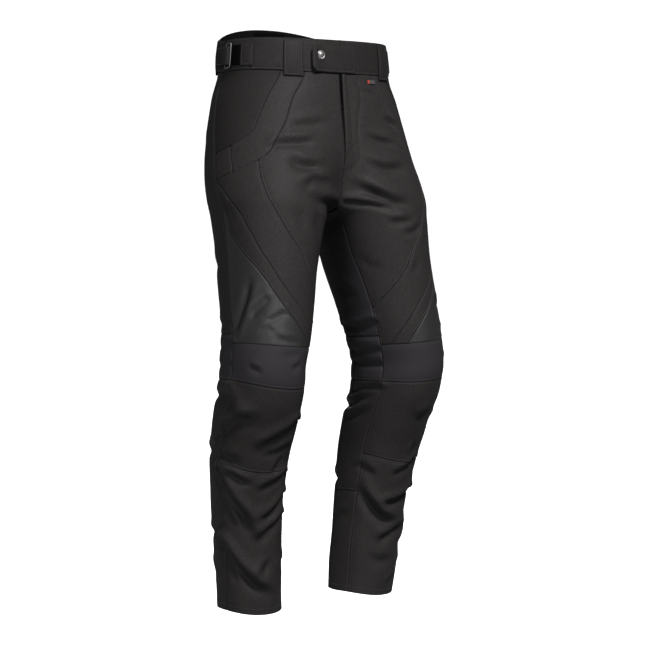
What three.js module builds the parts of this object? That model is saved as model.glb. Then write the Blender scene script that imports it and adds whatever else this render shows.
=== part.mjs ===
// Motorcycle trousers of black softshell, filled out as if worn, with no wearer in them.
// Millimetres, +Z up, and the front faces -Y. The origin is the centre of the waist,
// at the middle of the waistband's height at the sides.
// A point of the cloth is given by its leg, its turn round that leg in degrees and its level:
// turn 0 faces the other leg, 90 the front, 180 the outer side and 270 the back.

import * as THREE from 'three';

// Thickness of the cloths, gaps between pieces and the grid of a panel
const CLOTH = 2;
const BAND_CLOTH = 2.6;
const TRIM_CLOTH = 1.8;
const SEAM_GAP = 0.3;
const LEVEL_GAP = 0.5;
const LAY_GAP = 0.9;
const TIP = 1.3;
const BAND_COLUMN = 19;
const INNER_COLUMNS = 4;

// Levels of the cut lines
const WAIST_TOP = 20;
const WAIST_SEAM = -37;
const YOKE_SEAM = -120;
const YOKE_RISE = 54;
const YOKE_RISE_END = -290;
const YOKE_CLEARANCE = 0.6;
const HIP_SEAM_END = -188;
const THIGH_TOP = -203;
const BAND_END_TOP = -176;
const BAND_END_FOOT = -224;
const DIAGONAL_TOP = -236;
const INSEAM_TOP = -284;
const FRONT_PANEL_TIP = -458;
const BACK_KNEE_TOP = -505;
const KNEE_TOP = -520;
const KNEE_FOOT = -584;
const SHIN_SEAM = -727;
const CALF_SEAM = -800;
const HEM = -991;

// How square the sections are
const SQUARENESS = 2.2;

// Steps of the searches along the cloth, and how far from INSEAM_TOP the crotch is looked for
const HALVINGS = 40;
const FINE_STEPS = 60;
const WAIST_STEPS = 180;
const CROTCH_ABOVE = 12;
const CROTCH_BELOW = 30;
const CROTCH_LINE_FOOT = -364;

// Form of a fold: ridge beside the trough, fading ends, and where it is not looked for
const RIDGE_SHARE = 0.55;
const RIDGE_PLACE = 1.5;
const END_FADE = 1.2;
const FOLD_REACH = 130;
const CENTRE_FADE = 15;
const BEHIND_INNER = 345;

const FULL_TURN = 360;
const RIGHT = -1;
const LEFT = 1;
const SIDES = [[RIGHT, 'right'], [LEFT, 'left']];

// Sections of one leg. Each is an oval centred at (across, along) with its half widths towards
// the outside and the inside and its half depth. The legs join where they come nearer than
// merge. Twist turns the oval, and a level line bends by the last three at the front, the back
// and the inside.
const SECTION_NAMES = [
  'z', 'across', 'along', 'outer', 'inner', 'deep', 'merge', 'twist', 'front', 'back', 'inside',
];
const SECTIONS = [
  [20, 0, 6, 160, 160, 117, 0, 0, -6, 41, 0],
  [-37, 0, 4, 165, 165, 119, 0, 0, -9, 37, 0],
  [-85, 24, 0, 155, 148, 119, 8, 0, -6, 20, 0],
  [-135, 48, -5, 143, 130, 120, 18, 1, -3, 6, 0],
  [-190, 76, -14, 125, 112, 121, 26, 3, 0, 0, 0],
  [-245, 98, -29, 110, 99, 120, 27, 5, 0, 0, 0],
  [-278, 107, -39, 101, 103, 117, 22, 6, 0, 0, 0],
  [-294, 109, -42, 96, 98, 115, 11, 6, 0, 0, 0],
  [-320, 113, -46, 90, 93, 113, 2, 7, 0, 0, 0],
  [-390, 122, -56, 79, 82, 109, 0, 8, 0, 0, 0],
  [-450, 130, -69, 75, 76, 102, 0, 8, 0, 0, -4],
  [-520, 141, -82, 70, 70, 96, 0, 8, -2, 0, -10],
  [-560, 147, -83, 67, 67, 95, 0, 8, -6, 0, -11],
  [-600, 147, -76, 68, 68, 91, 0, 8, -12, 0, -12],
  [-660, 144, -52, 69, 69, 84, 0, 8, -14, 0, -6],
  [-728, 141, -28, 66, 66, 77, 0, 8, -19, 0, 0],
  [-840, 133, -11, 59, 59, 67, 0, 8, -12, 2, 0],
  [-920, 127, -5, 56, 56, 65, 0, 8, -10, 4, 0],
  [-991, 122, -2, 55, 55, 62, 0, 8, -7, 4, 0],
];

// How far each leg is held up, and how far it is up at RAISE_REACH from the centre plane
const RAISE_NAMES = ['z', 'lift', 'tilt'];
const RIGHT_RAISES = [[20, 0, -5], [-190, 0, -2], [-320, 0, 0], [-991, 0, 0]];
const LEFT_RAISES = [
  [20, 0, 5], [-190, 0, 4], [-320, 0, 5], [-520, 0, 8], [-584, 0, 9], [-650, 3, 6], [-727, 5, 2],
  [-850, 9, 0], [-991, 14, 0],
];
const RAISE_REACH = 150;

// Seams that run down the leg, as level and turn
const SEAM_NAMES = ['z', 'turn'];
const SEAMS = {
  outseam: [
    [20, 187], [-37, 187], [-90, 186], [-176, 179], [-188, 178.5], [-236, 176.2], [-260, 175],
    [-284, 174.7], [-360, 174], [-440, 175], [-505, 172], [-584, 170], [-700, 169], [-760, 167],
    [-840, 165], [-930, 162], [-991, 162],
  ],
  hipSeam: [
    [-37, 131], [-88, 136], [-148, 141], [-158, 145], [-164, 150], [-176, 161], [-188, 178.5],
  ],
  frontSeam: [
    [-37, 114], [-92, 117], [-132, 117], [-176, 121], [-188, 123], [-197, 127], [-203, 132],
    [-224, 156], [-236, 176.2],
  ],
  bandEndSeam: [[-176, 161], [-224, 156]],
  thighSeam: [
    [-203, 132], [-236, 128], [-272, 120], [-298, 111], [-338, 94], [-364, 82], [-390, 73],
    [-416, 56], [-440, 36], [-458, 19],
  ],
  bandUpper: [
    [-236, 176.2], [-260, 166], [-298, 151], [-364, 128], [-408, 107], [-446, 86], [-487, 56],
    [-505, 41], [-520, 30],
  ],
  bandLower: [
    [-284, 174.7], [-289, 172.8], [-330, 167], [-364, 151], [-392, 134], [-430, 113], [-476, 86],
    [-505, 63], [-520, 52],
  ],
  frontInseam: [
    [-290, 19], [-312, 14], [-364, 12], [-408, 16], [-458, 19], [-520, 17], [-560, 15],
    [-612, 16], [-727, 19], [-800, 18], [-910, 16], [-991, 17],
  ],
  backInseam: [
    [-290, 323], [-312, 325], [-364, 327], [-505, 328], [-584, 328], [-800, 332], [-991, 334],
  ],
};

// Levels at which a panel's grid has a row, and more of them where a seam slants steeply
const LEVELS = [
  -37, -64, -92, -120, -148, -176, -203, -236, -260, -284, -290, -312, -338, -364, -390, -416,
  -440, -458, -482, -505, -520, -541, -562, -584, -612, -641, -670, -699, -727, -752, -776, -800,
  -831, -862, -893, -925, -957, -991,
];
const SLANT_LEVELS = [
  -158, -164, -170, -182, -188, -197, -210, -217, -224, -230, -272, -428, -449,
];

// Largest folds: a trough runs from one place to another with a ridge along its upper side.
// Width is the reach of the trough to either side of its line, and bow bends the line down.
const FOLD_NAMES = ['side', 'turn1', 'z1', 'turn2', 'z2', 'width', 'depth', 'bow'];
const FOLDS = [
  [RIGHT, 118, -174, 88, -170, 12, 4, 3],
  [RIGHT, 109, -196, 72, -220, 13, 4, 6],
  [RIGHT, 92, -252, 14, -286, 14, 5, -6],
  [RIGHT, 139, -400, 164, -492, 15, 4, 4],
  [RIGHT, 166, -666, 110, -640, 14, 6, -4],
  [RIGHT, 60, -642, 108, -686, 14, 5, 4],
  [RIGHT, 166, -766, 112, -860, 15, 6, -5],
  [RIGHT, 50, -816, 90, -846, 13, 4, 2],
  [RIGHT, 167, -868, 66, -962, 15, 6, -6],
  [LEFT, 84, -148, 111, -168, 12, 4, 4],
  [LEFT, 70, -204, 112, -208, 12, 4, 6],
  [LEFT, 44, -246, 100, -282, 13, 6, 6],
  [LEFT, 28, -272, 82, -300, 12, 5, 0],
  [LEFT, 18, -798, 104, -856, 15, 6, 5],
  [LEFT, 110, -790, 56, -816, 13, 4, -3],
  [LEFT, 110, -860, 60, -898, 13, 5, -3],
  [LEFT, 100, -634, 82, -656, 13, 4, 0],
  [RIGHT, 215, -292, 280, -276, 15, 5, 6],
  [LEFT, 262, -290, 205, -272, 15, 5, 6],
  [RIGHT, 200, -760, 262, -812, 15, 5, 4],
  [LEFT, 256, -742, 196, -790, 15, 5, -4],
  [RIGHT, 262, -900, 200, -936, 14, 5, 4],
  [LEFT, 204, -872, 268, -924, 14, 5, -4],
];

// Trim along the waistband: u is the distance from the centre front, plus towards the left side
const TAB = { from: -62, to: 28, top: 10, foot: -36, corner: 12 };
const SNAP = { u: -45, z: -8, radius: 8, rim: 6.2, edge: 1.2, middle: 2.4, thick: 3 };
const LOOP = { width: 34, top: 17, foot: -46, bulge: 1.6 };
const LOOP_PLACES = [
  [-112, 'belt_loop_front_right'],
  [93, 'belt_loop_front_left'],
  [-330, 'belt_loop_side_right'],
  [296, 'belt_loop_side_left'],
  [446, 'belt_loop_back'],
];
const SIDE_SEAM_U = 172;
const ADJUSTER = { top: 10, foot: -30, patchFrom: 167, patchTo: 206.3, patchColumns: 5 };
const RING = { u: 220, width: 17, height: 46, bar: 2.6, thick: 2.6, corner: 3, lift: 3.2 };

// Webbing goes over the ring's front bar and the strap under its rear bar, as u and lift
const WEBBING_WAY = [
  [206.6, 0.9], [208, 1.2], [209, 3.9], [210.3, 7.2], [213, 7.4], [215.6, 7.2], [217.2, 4.8],
  [219, 3.2], [221.5, 3.2], [224, 3.2],
];
const STRAP_WAY = [
  [216, 0.9], [223, 0.9], [230, 0.9], [235, 3.4], [241, 6.2], [249, 6.8], [258, 5.6], [267, 2.8],
  [275, 0.9], [286, 0.9],
];
const FLY_FOOT = -224;
const SEAM_TAB = { from: 58, to: 78, top: -46.5, foot: -54 };
const LABEL = { half: 34, top: 15, foot: 2, thick: 1 };

const CHARCOAL = new THREE.MeshStandardMaterial({ color: 0x29292b, roughness: 0.78 });
const STRETCH = new THREE.MeshStandardMaterial({ color: 0x2c2a2f, roughness: 0.86 });
const SIDE_CLOTH = new THREE.MeshStandardMaterial({ color: 0x242426, roughness: 0.6 });
const BLACK_WEB = new THREE.MeshStandardMaterial({ color: 0x121213, roughness: 0.7 });
const GUNMETAL = new THREE.MeshStandardMaterial({ color: 0x8d8f92, roughness: 0.35, metalness: 1 });

const rad = THREE.MathUtils.degToRad;

function namedRows(names, rows) {
  return rows.map((row) => Object.fromEntries(names.map((name, i) => [name, row[i]])));
}

// A smooth curve through a table's rows that never swings past them
function smoothTable(names, rows) {
  const table = namedRows(names, rows);
  const values = names.slice(1);
  const slopes = Object.fromEntries(values.map((name) => [name, tableSlopes(table, name)]));
  const seen = new Map();
  return (z) => {
    if (seen.has(z)) return seen.get(z);
    const level = Math.min(Math.max(z, table.at(-1).z), table[0].z);
    const k = Math.max(table.findIndex((row) => row.z <= level), 1);
    const [a, b] = [table[k - 1], table[k]];
    const step = b.z - a.z;
    const t = (level - a.z) / step;
    const near = (1 + 2 * t) * (1 - t) ** 2;
    const leave = t * (1 - t) ** 2 * step;
    const arrive = t * t * (t - 1) * step;
    const result = {};
    for (const name of values) {
      const slope = slopes[name];
      result[name] = near * a[name] + (1 - near) * b[name] + leave * slope[k - 1] + arrive * slope[k];
    }
    seen.set(z, result);
    return result;
  };
}

function tableSlopes(table, name) {
  const count = table.length;
  const step = table.slice(1).map((row, i) => row.z - table[i].z);
  const rise = table.slice(1).map((row, i) => (row[name] - table[i][name]) / step[i]);
  return table.map((row, i) => {
    if (i === 0) return rise[0];
    if (i === count - 1) return rise[count - 2];
    if (rise[i - 1] * rise[i] <= 0) return 0;
    const before = 2 * step[i] + step[i - 1];
    const after = step[i] + 2 * step[i - 1];
    return (before + after) / (before / rise[i - 1] + after / rise[i]);
  });
}

// A seam's turn at a level, or nothing beyond the seam's ends
function seamCurve(name) {
  const rows = namedRows(SEAM_NAMES, SEAMS[name]);
  return (z) => {
    if (z > rows[0].z + TIP || z < rows.at(-1).z - TIP) return undefined;
    const k = Math.max(rows.findIndex((row) => row.z <= z), 1);
    const last = rows[k] ? k : rows.length - 1;
    const [a, b] = [rows[last - 1], rows[last]];
    return a.turn + (b.turn - a.turn) * (z - a.z) / (b.z - a.z);
  };
}

const sectionAt = smoothTable(SECTION_NAMES, SECTIONS);
const rightRaiseAt = smoothTable(RAISE_NAMES, RIGHT_RAISES);
const leftRaiseAt = smoothTable(RAISE_NAMES, LEFT_RAISES);
const curves = Object.fromEntries(Object.keys(SEAMS).map((name) => [name, seamCurve(name)]));
const edges = {
  ...curves,
  centreFront: (z) => (z > INSEAM_TOP ? centreTurn(z, true) : undefined),
  centreBack: (z) => (z > INSEAM_TOP ? centreTurn(z, false) : undefined),
  frontInseam: (z) => inseamTurn('frontInseam', z),
  backInseam: (z) => inseamTurn('backInseam', z),
  innerBack: (z) => inseamTurn('backInseam', z) - FULL_TURN,
};
const folds = namedRows(FOLD_NAMES, FOLDS);

// Where the oval lies before the legs join, x counted away from the centre plane as minus
function ovalPoint(turn, z) {
  const s = sectionAt(z);
  const c = Math.cos(rad(turn));
  const n = Math.sin(rad(turn));
  const reach = c > 0 ? s.inner : s.outer;
  const px = Math.sign(c) * Math.abs(c) ** (2 / SQUARENESS) * reach;
  const py = -Math.sign(n) * Math.abs(n) ** (2 / SQUARENESS) * s.deep;
  const tc = Math.cos(rad(s.twist));
  const ts = Math.sin(rad(s.twist));
  const bend = (n > 0 ? s.front : s.back) * n * n + s.inside * (1 + c) / 2;
  return { x: -s.across + px * tc + py * ts, y: s.along - px * ts + py * tc, bend, merge: s.merge };
}

// A point of the plain form. Both legs join smoothly at the centre plane.
function plainPoint(side, turn, z) {
  const oval = ovalPoint(turn, z);
  const past = oval.x > -oval.merge;
  const x = past ? 0 : Math.sqrt(oval.x ** 2 - oval.merge ** 2);
  const { lift, tilt } = side === LEFT ? leftRaiseAt(z) : rightRaiseAt(z);
  return new THREE.Vector3(side * x, oval.y, z + oval.bend + lift + tilt * x / RAISE_REACH);
}

// The turn at which the leg meets the centre plane, at the front or the back
function centreTurn(z, front) {
  const bare = (turn) => {
    const oval = ovalPoint(turn, z);
    return oval.x + oval.merge;
  };
  let inside = front ? 0 : FULL_TURN;
  let outside = front ? 100 : 260;
  for (let i = 0; i < HALVINGS; i += 1) {
    const middle = (inside + outside) / 2;
    if (bare(middle) > 0) inside = middle;
    else outside = middle;
  }
  return outside;
}

// The level at which a turn near the inside leaves the centre plane
function crotchLevel(turn) {
  let joined = INSEAM_TOP + CROTCH_ABOVE;
  let apart = INSEAM_TOP - CROTCH_BELOW;
  for (let i = 0; i < HALVINGS; i += 1) {
    const middle = (joined + apart) / 2;
    const oval = ovalPoint(turn, middle);
    if (oval.x > -oval.merge) joined = middle;
    else apart = middle;
  }
  return apart;
}

// The way out of the cloth. The steps taken lead away from the centre plane.
function plainNormal(side, turn, z) {
  const here = plainPoint(side, turn, z);
  const joined = Math.abs(here.x) < 2 * SEAM_GAP && z > INSEAM_TOP - CROTCH_BELOW;
  if (joined) return centreNormal(side, turn, z);
  const step = Math.sin(rad(turn)) >= 0 ? 1.5 : -1.5;
  const across = plainPoint(side, turn + step, z).sub(here);
  const down = plainPoint(side, turn, z - 3).sub(plainPoint(side, turn, z + 3));
  return across.cross(down).multiplyScalar(-side * Math.sign(step)).normalize();
}

// The way out on the centre plane, square to the line that runs down the front,
// through the crotch and up the back
function centreNormal(side, turn, z) {
  const front = Math.sin(rad(turn)) > 0;
  let run;
  if (z > INSEAM_TOP + 3) {
    const above = plainPoint(side, centreTurn(z + 2, front), z + 2);
    const below = plainPoint(side, centreTurn(z - 2, front), z - 2);
    run = front ? below.sub(above) : above.sub(below);
  } else {
    const near = turn > FULL_TURN / 2 ? turn - FULL_TURN : turn;
    const ahead = plainPoint(side, near - 1, crotchLevel(near - 1));
    run = ahead.sub(plainPoint(side, near + 1, crotchLevel(near + 1)));
  }
  return new THREE.Vector3(0, run.z, -run.y).normalize();
}

// How far the folds push the cloth out, plus, or in, minus
function foldHeight(side, turn, z) {
  const s = sectionAt(z);
  const radius = (s.outer + s.inner + 2 * s.deep) / 4;
  const turnNear = turn > BEHIND_INNER ? turn - FULL_TURN : turn;
  let height = 0;
  for (const fold of folds) {
    const away = Math.abs((fold.z1 + fold.z2) / 2 - z);
    if (fold.side !== side || away > FOLD_REACH) continue;
    const run = new THREE.Vector2(rad(fold.turn2 - fold.turn1) * radius, fold.z2 - fold.z1);
    const from = new THREE.Vector2(rad(turnNear - fold.turn1) * radius, z - fold.z1);
    const length = run.length();
    const t = from.dot(run) / length ** 2;
    const bow = fold.bow * Math.max(4 * t * (1 - t), 0);
    const upward = Math.sign(run.x || 1);
    const off = upward * run.cross(from) / length + bow;
    const ends = Math.exp(-END_FADE * (2 * t - 1) ** 4);
    const trough = Math.exp(-((off / fold.width) ** 2));
    const ridge = Math.exp(-((off / fold.width - RIDGE_PLACE) ** 2));
    height += fold.depth * ends * (RIDGE_SHARE * ridge - trough);
  }
  return height;
}

// A point of the worn cloth with the way out of it. Folds fade out at the centre plane.
function wornPoint(side, turn, z) {
  const point = plainPoint(side, turn, z);
  const normal = plainNormal(side, turn, z);
  const fade = THREE.MathUtils.clamp(Math.abs(point.x) / CENTRE_FADE, 0, 1);
  point.addScaledVector(normal, foldHeight(side, turn, z) * fade);
  point.x = side * Math.max(Math.abs(point.x), SEAM_GAP / 2);
  return { point, normal };
}

// Steps along a line on the cloth, evenly spaced, keeping its insets at both ends.
// The line's way is a function that gives turn and level for 0 to 1.
function evenSteps(side, { way: line, insets }, count) {
  const places = Array.from({ length: FINE_STEPS + 1 }, (_, i) => line(easeEnds(i / FINE_STEPS)));
  const points = places.map(([turn, z]) => plainPoint(side, turn, z));
  const run = [0];
  points.slice(1).forEach((point, i) => run.push(run[i] + point.distanceTo(points[i])));
  const total = run.at(-1);
  return Array.from({ length: count + 1 }, (_, i) => {
    const target = insets[0] + (total - insets[0] - insets[1]) * i / count;
    const k = Math.max(run.findIndex((length) => length >= target), 1);
    const t = (k - 1 + (target - run[k - 1]) / (run[k] - run[k - 1])) / FINE_STEPS;
    return line(easeEnds(t));
  });
}

// Short steps at both ends, where a line may meet the centre plane
function easeEnds(t) {
  return (1 - Math.cos(Math.PI * t)) / 2;
}

// A closed wall from rows of points on its outer face and the way out at each
function wallGeometry(rows, thickness, lift = () => 0) {
  const rowCount = rows.length;
  const columnCount = rows[0].length;
  const positions = [];
  for (const depth of [thickness, 0]) {
    rows.forEach((row, j) => row.forEach(({ point, normal }, i) => {
      const out = lift(i / (columnCount - 1), j / (rowCount - 1)) + depth;
      positions.push(...point.clone().addScaledVector(normal, out).toArray());
    }));
  }
  const at = (layer, j, i) => (layer * rowCount + j) * columnCount + i;
  const indices = [];
  const quad = (a, b, c, d) => indices.push(a, b, c, a, c, d);
  for (let j = 0; j < rowCount - 1; j += 1) {
    for (let i = 0; i < columnCount - 1; i += 1) {
      quad(at(0, j, i), at(0, j + 1, i), at(0, j + 1, i + 1), at(0, j, i + 1));
      quad(at(1, j, i), at(1, j, i + 1), at(1, j + 1, i + 1), at(1, j + 1, i));
    }
  }
  const end = columnCount - 1;
  const foot = rowCount - 1;
  for (let j = 0; j < foot; j += 1) {
    quad(at(0, j, 0), at(1, j, 0), at(1, j + 1, 0), at(0, j + 1, 0));
    quad(at(0, j, end), at(0, j + 1, end), at(1, j + 1, end), at(1, j, end));
  }
  for (let i = 0; i < end; i += 1) {
    quad(at(0, 0, i), at(0, 0, i + 1), at(1, 0, i + 1), at(1, 0, i));
    quad(at(0, foot, i), at(1, foot, i), at(1, foot, i + 1), at(0, foot, i + 1));
  }
  return closedGeometry(positions, indices);
}

function closedGeometry(positions, indices) {
  const corner = (i) => new THREE.Vector3().fromArray(positions, 3 * indices[i]);
  let volume = 0;
  for (let i = 0; i < indices.length; i += 3) {
    volume += corner(i).dot(corner(i + 1).cross(corner(i + 2)));
  }
  if (volume < 0) indices.reverse();
  const geometry = new THREE.BufferGeometry();
  geometry.setAttribute('position', new THREE.Float32BufferAttribute(positions, 3));
  geometry.setIndex(indices);
  geometry.computeVertexNormals();
  return geometry;
}

const grids = {};
const trousers = new THREE.Group();
trousers.name = 'motorcycle_trousers';

function addPiece(name, geometry, material) {
  const mesh = new THREE.Mesh(geometry, material);
  mesh.name = name;
  trousers.add(mesh);
  return mesh;
}

// Rows of a panel from its top to its foot. A tip is a level where the panel narrows to nothing.
function panelLevels(top, foot, tips, slanting) {
  const hemGap = foot === HEM ? 0 : LEVEL_GAP / 2;
  const first = top - (tips.top ? TIP : LEVEL_GAP / 2);
  const last = foot + (tips.foot ? TIP : hemGap);
  const levels = slanting ? [...LEVELS, ...SLANT_LEVELS].sort((a, b) => b - a) : LEVELS;
  return [first, ...levels.filter((z) => z < first - 1 && z > last + 1), last];
}

function edgeTurn(names, z, pick) {
  return pick(...names.map((name) => edges[name](z)).filter((turn) => turn !== undefined));
}

// An inseam's turn. Its first stretch runs from the centre plane down to its table.
function inseamTurn(name, z) {
  if (z > INSEAM_TOP + TIP) return undefined;
  const [tableTop, tableTurn] = SEAMS[name][0];
  if (z <= tableTop) return curves[name](z);
  const start = centreTurn(INSEAM_TOP, name === 'frontInseam');
  return THREE.MathUtils.mapLinear(Math.min(z, INSEAM_TOP), INSEAM_TOP, tableTop, start, tableTurn);
}

function gridRows(side, lines, columns) {
  return lines.map((line) => evenSteps(side, line, columns).map(([turn, z]) => wornPoint(side, turn, z)));
}

// Half a gap, measured along a row, where a slanting seam crosses it
function slantInset(side, turnAt, z) {
  const edge = plainPoint(side, turnAt(z), z);
  const row = plainPoint(side, turnAt(z) + 0.5, z).sub(plainPoint(side, turnAt(z) - 0.5, z));
  const run = plainPoint(side, turnAt(z + 1), z + 1).sub(plainPoint(side, turnAt(z - 1), z - 1));
  const slant = Math.abs(edge.x) < SEAM_GAP ? 0 : run.dot(row.normalize()) / 2;
  return SEAM_GAP / 2 * Math.hypot(1, slant);
}

// A panel between seams: from and to name the seams that may bound it on each side
function addPanel(name, panel) {
  const { top, foot, from, to, columns, slanting } = panel;
  const { material = CHARCOAL, tips = {}, rise = () => 0 } = panel;
  const highest = top + rise(top);
  const within = (z) => THREE.MathUtils.clamp(z, foot, highest);
  const startAt = (z) => edgeTurn(from, within(z), Math.max);
  const endAt = (z) => edgeTurn(to, within(z), Math.min);
  for (const [side, word] of SIDES) {
    const lines = panelLevels(top, foot, tips, slanting).map((z) => ({
      way: (t) => {
        const level = z + rise(z) * (1 - t);
        return [startAt(level) + (endAt(level) - startAt(level)) * t, level];
      },
      insets: [
        slantInset(side, startAt, z + rise(z)) + (rise(z) > 0 ? YOKE_CLEARANCE : 0),
        slantInset(side, endAt, z),
      ],
    }));
    const rows = gridRows(side, lines, columns);
    grids[`${name}_${word}`] = rows;
    addPiece(`${name}_${word}`, wallGeometry(rows, CLOTH, () => -CLOTH), material);
  }
}

// The back yoke's seam rises from the centre back to the outseam, and the levels near it too
function yokeRise(z) {
  const far = z > YOKE_SEAM ? WAIST_SEAM : YOKE_RISE_END;
  return YOKE_RISE * THREE.MathUtils.clamp((z - far) / (YOKE_SEAM - far), 0, 1);
}

// The inner thigh panel, whose top edge follows the crotch along the centre plane
function addInnerThigh() {
  const start = centreTurn(INSEAM_TOP, false) - FULL_TURN;
  const end = centreTurn(INSEAM_TOP, true);
  const levels = [INSEAM_TOP, ...panelLevels(INSEAM_TOP, BACK_KNEE_TOP, {}).slice(1)];
  for (const [side, word] of SIDES) {
    const lines = levels.map((z) => {
      const near = (z - CROTCH_LINE_FOOT) / (INSEAM_TOP - CROTCH_LINE_FOOT);
      const share = THREE.MathUtils.clamp(near, 0, 1) ** 2;
      const back = edges.innerBack(z);
      const front = edges.frontInseam(z);
      const way = (t) => {
        const turn = back + (front - back) * t;
        const crotchTurn = start + (end - start) * t;
        return [turn, z + (crotchLevel(crotchTurn) - INSEAM_TOP) * share];
      };
      return { way, insets: [SEAM_GAP / 2, SEAM_GAP / 2] };
    });
    const rows = gridRows(side, lines, INNER_COLUMNS);
    addPiece(`inner_thigh_${word}`, wallGeometry(rows, CLOTH, () => -CLOTH), STRETCH);
  }
}

// A place on the waist, u along the waist seam from the centre front, plus towards the left.
// Above and below the waist seam the same u lies at the same share of the girth.
const waistRuns = new Map();
function waistRun(z) {
  if (!waistRuns.has(z)) {
    const start = centreTurn(z, true);
    const end = centreTurn(z, false);
    const turns = Array.from(
      { length: WAIST_STEPS + 1 },
      (_, i) => start + (end - start) * easeEnds(i / WAIST_STEPS),
    );
    const run = [0];
    turns.slice(1).forEach((turn, i) => {
      const gap = plainPoint(LEFT, turn, z).distanceTo(plainPoint(LEFT, turns[i], z));
      run.push(run[i] + gap);
    });
    waistRuns.set(z, { turns, run });
  }
  return waistRuns.get(z);
}

function waistPoint(u, z) {
  const { turns, run } = waistRun(z);
  const half = waistRun(WAIST_SEAM).run.at(-1);
  const wrapped = u > half ? u - 2 * half : u;
  const side = wrapped < 0 ? RIGHT : LEFT;
  const target = Math.abs(wrapped) * run.at(-1) / half;
  const k = Math.max(run.findIndex((length) => length >= target), 1);
  const t = (target - run[k - 1]) / (run[k] - run[k - 1]);
  const turn = turns[k - 1] + (turns[k] - turns[k - 1]) * t;
  const { point, normal } = wornPoint(side, turn, z);
  if (Math.abs(wrapped) < 2 || Math.abs(wrapped) > half - 2) normal.x = 0;
  if (Math.abs(wrapped) < SEAM_GAP) point.x = 0;
  return { point, normal: normal.normalize() };
}

// A strip along the waist. The ends may be drawn in by a rounded corner at each level.
function waistRows({ from, to, top, foot, count, levels, corner = 0 }) {
  return Array.from({ length: levels + 1 }, (_, j) => {
    const z = top + (foot - top) * j / levels;
    const reach = Math.min(top - z, z - foot);
    const inset = reach < corner ? corner - Math.sqrt(corner ** 2 - (corner - reach) ** 2) : 0;
    const start = from + inset;
    return Array.from({ length: count + 1 }, (__, i) => waistPoint(start + (to - start) * i / count, z));
  });
}

function addWaistband() {
  const half = waistRun(WAIST_SEAM).run.at(-1);
  const spans = [
    ['waistband_front_right', -SIDE_SEAM_U, -SEAM_GAP / 2],
    ['waistband_front_left', SEAM_GAP / 2, SIDE_SEAM_U],
    ['waistband_back', SIDE_SEAM_U + SEAM_GAP, 2 * half - SIDE_SEAM_U - SEAM_GAP],
  ];
  for (const [name, from, to] of spans) {
    const count = Math.round((to - from) / BAND_COLUMN);
    const rows = waistRows({
      from, to, top: WAIST_TOP, foot: WAIST_SEAM + LEVEL_GAP / 2, count, levels: 3,
    });
    addPiece(name, wallGeometry(rows, BAND_CLOTH, () => -BAND_CLOTH), CHARCOAL);
  }
}

function addFrontTab() {
  const rows = waistRows({ ...TAB, count: 8, levels: 8 });
  addPiece('front_tab', wallGeometry(rows, CLOTH, () => LAY_GAP), CHARCOAL);
  const seat = waistPoint(SNAP.u, SNAP.z);
  const base = LAY_GAP + CLOTH + SEAM_GAP;
  const profile = [
    [0, 0], [SNAP.radius, 0], [SNAP.radius, SNAP.edge], [SNAP.rim, SNAP.thick], [0, SNAP.middle],
  ].map(([r, h]) => new THREE.Vector2(r, h));
  const cap = addPiece('snap_cap', new THREE.LatheGeometry(profile, 20), GUNMETAL);
  cap.quaternion.setFromUnitVectors(new THREE.Vector3(0, 1, 0), seat.normal);
  cap.position.copy(seat.point).addScaledVector(seat.normal, base);
}

function addBeltLoops() {
  for (const [from, name] of LOOP_PLACES) {
    const rows = waistRows({
      from, to: from + LOOP.width, top: LOOP.top, foot: LOOP.foot, count: 4, levels: 6,
    });
    const lift = (i, j) => LAY_GAP + LOOP.bulge * Math.sin(Math.PI * j) ** 0.7;
    addPiece(name, wallGeometry(rows, TRIM_CLOTH, lift), CHARCOAL);
  }
}

// The adjuster at each side: a sewn patch, its webbing round a ring, and the strap under the ring
function addAdjusters() {
  const { patchFrom, patchTo, patchColumns } = ADJUSTER;
  const column = (patchTo - patchFrom) / patchColumns;
  const patchWay = Array.from({ length: patchColumns + 1 }, (_, i) => [patchFrom + column * i, LAY_GAP]);
  for (const [side, word] of SIDES) {
    addStrip(`adjuster_patch_${word}`, side, patchWay, 0, CHARCOAL);
    addStrip(`adjuster_webbing_${word}`, side, WEBBING_WAY, 2, BLACK_WEB);
    addStrip(`adjuster_strap_${word}`, side, STRAP_WAY, 3, CHARCOAL);
    addRing(side, word);
  }
}

// A strip round the side of the waist, from a list of places along it and its lift at each
function addStrip(name, side, way, inset, material) {
  const top = ADJUSTER.top - inset;
  const foot = ADJUSTER.foot + inset;
  const levels = 3;
  const rows = Array.from({ length: levels + 1 }, (_, j) => {
    const z = top + (foot - top) * j / levels;
    return way.map(([u, lift]) => {
      const { point, normal } = waistPoint(side * u, z);
      return { point: point.addScaledVector(normal, lift), normal };
    });
  });
  addPiece(name, wallGeometry(rows, TRIM_CLOTH), material);
}

function roundedRect(shape, width, height, corner) {
  const x = width / 2;
  const y = height / 2;
  shape.moveTo(-x + corner, -y);
  shape.lineTo(x - corner, -y);
  shape.quadraticCurveTo(x, -y, x, -y + corner);
  shape.lineTo(x, y - corner);
  shape.quadraticCurveTo(x, y, x - corner, y);
  shape.lineTo(-x + corner, y);
  shape.quadraticCurveTo(-x, y, -x, y - corner);
  shape.lineTo(-x, -y + corner);
  shape.quadraticCurveTo(-x, -y, -x + corner, -y);
  return shape;
}

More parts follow.
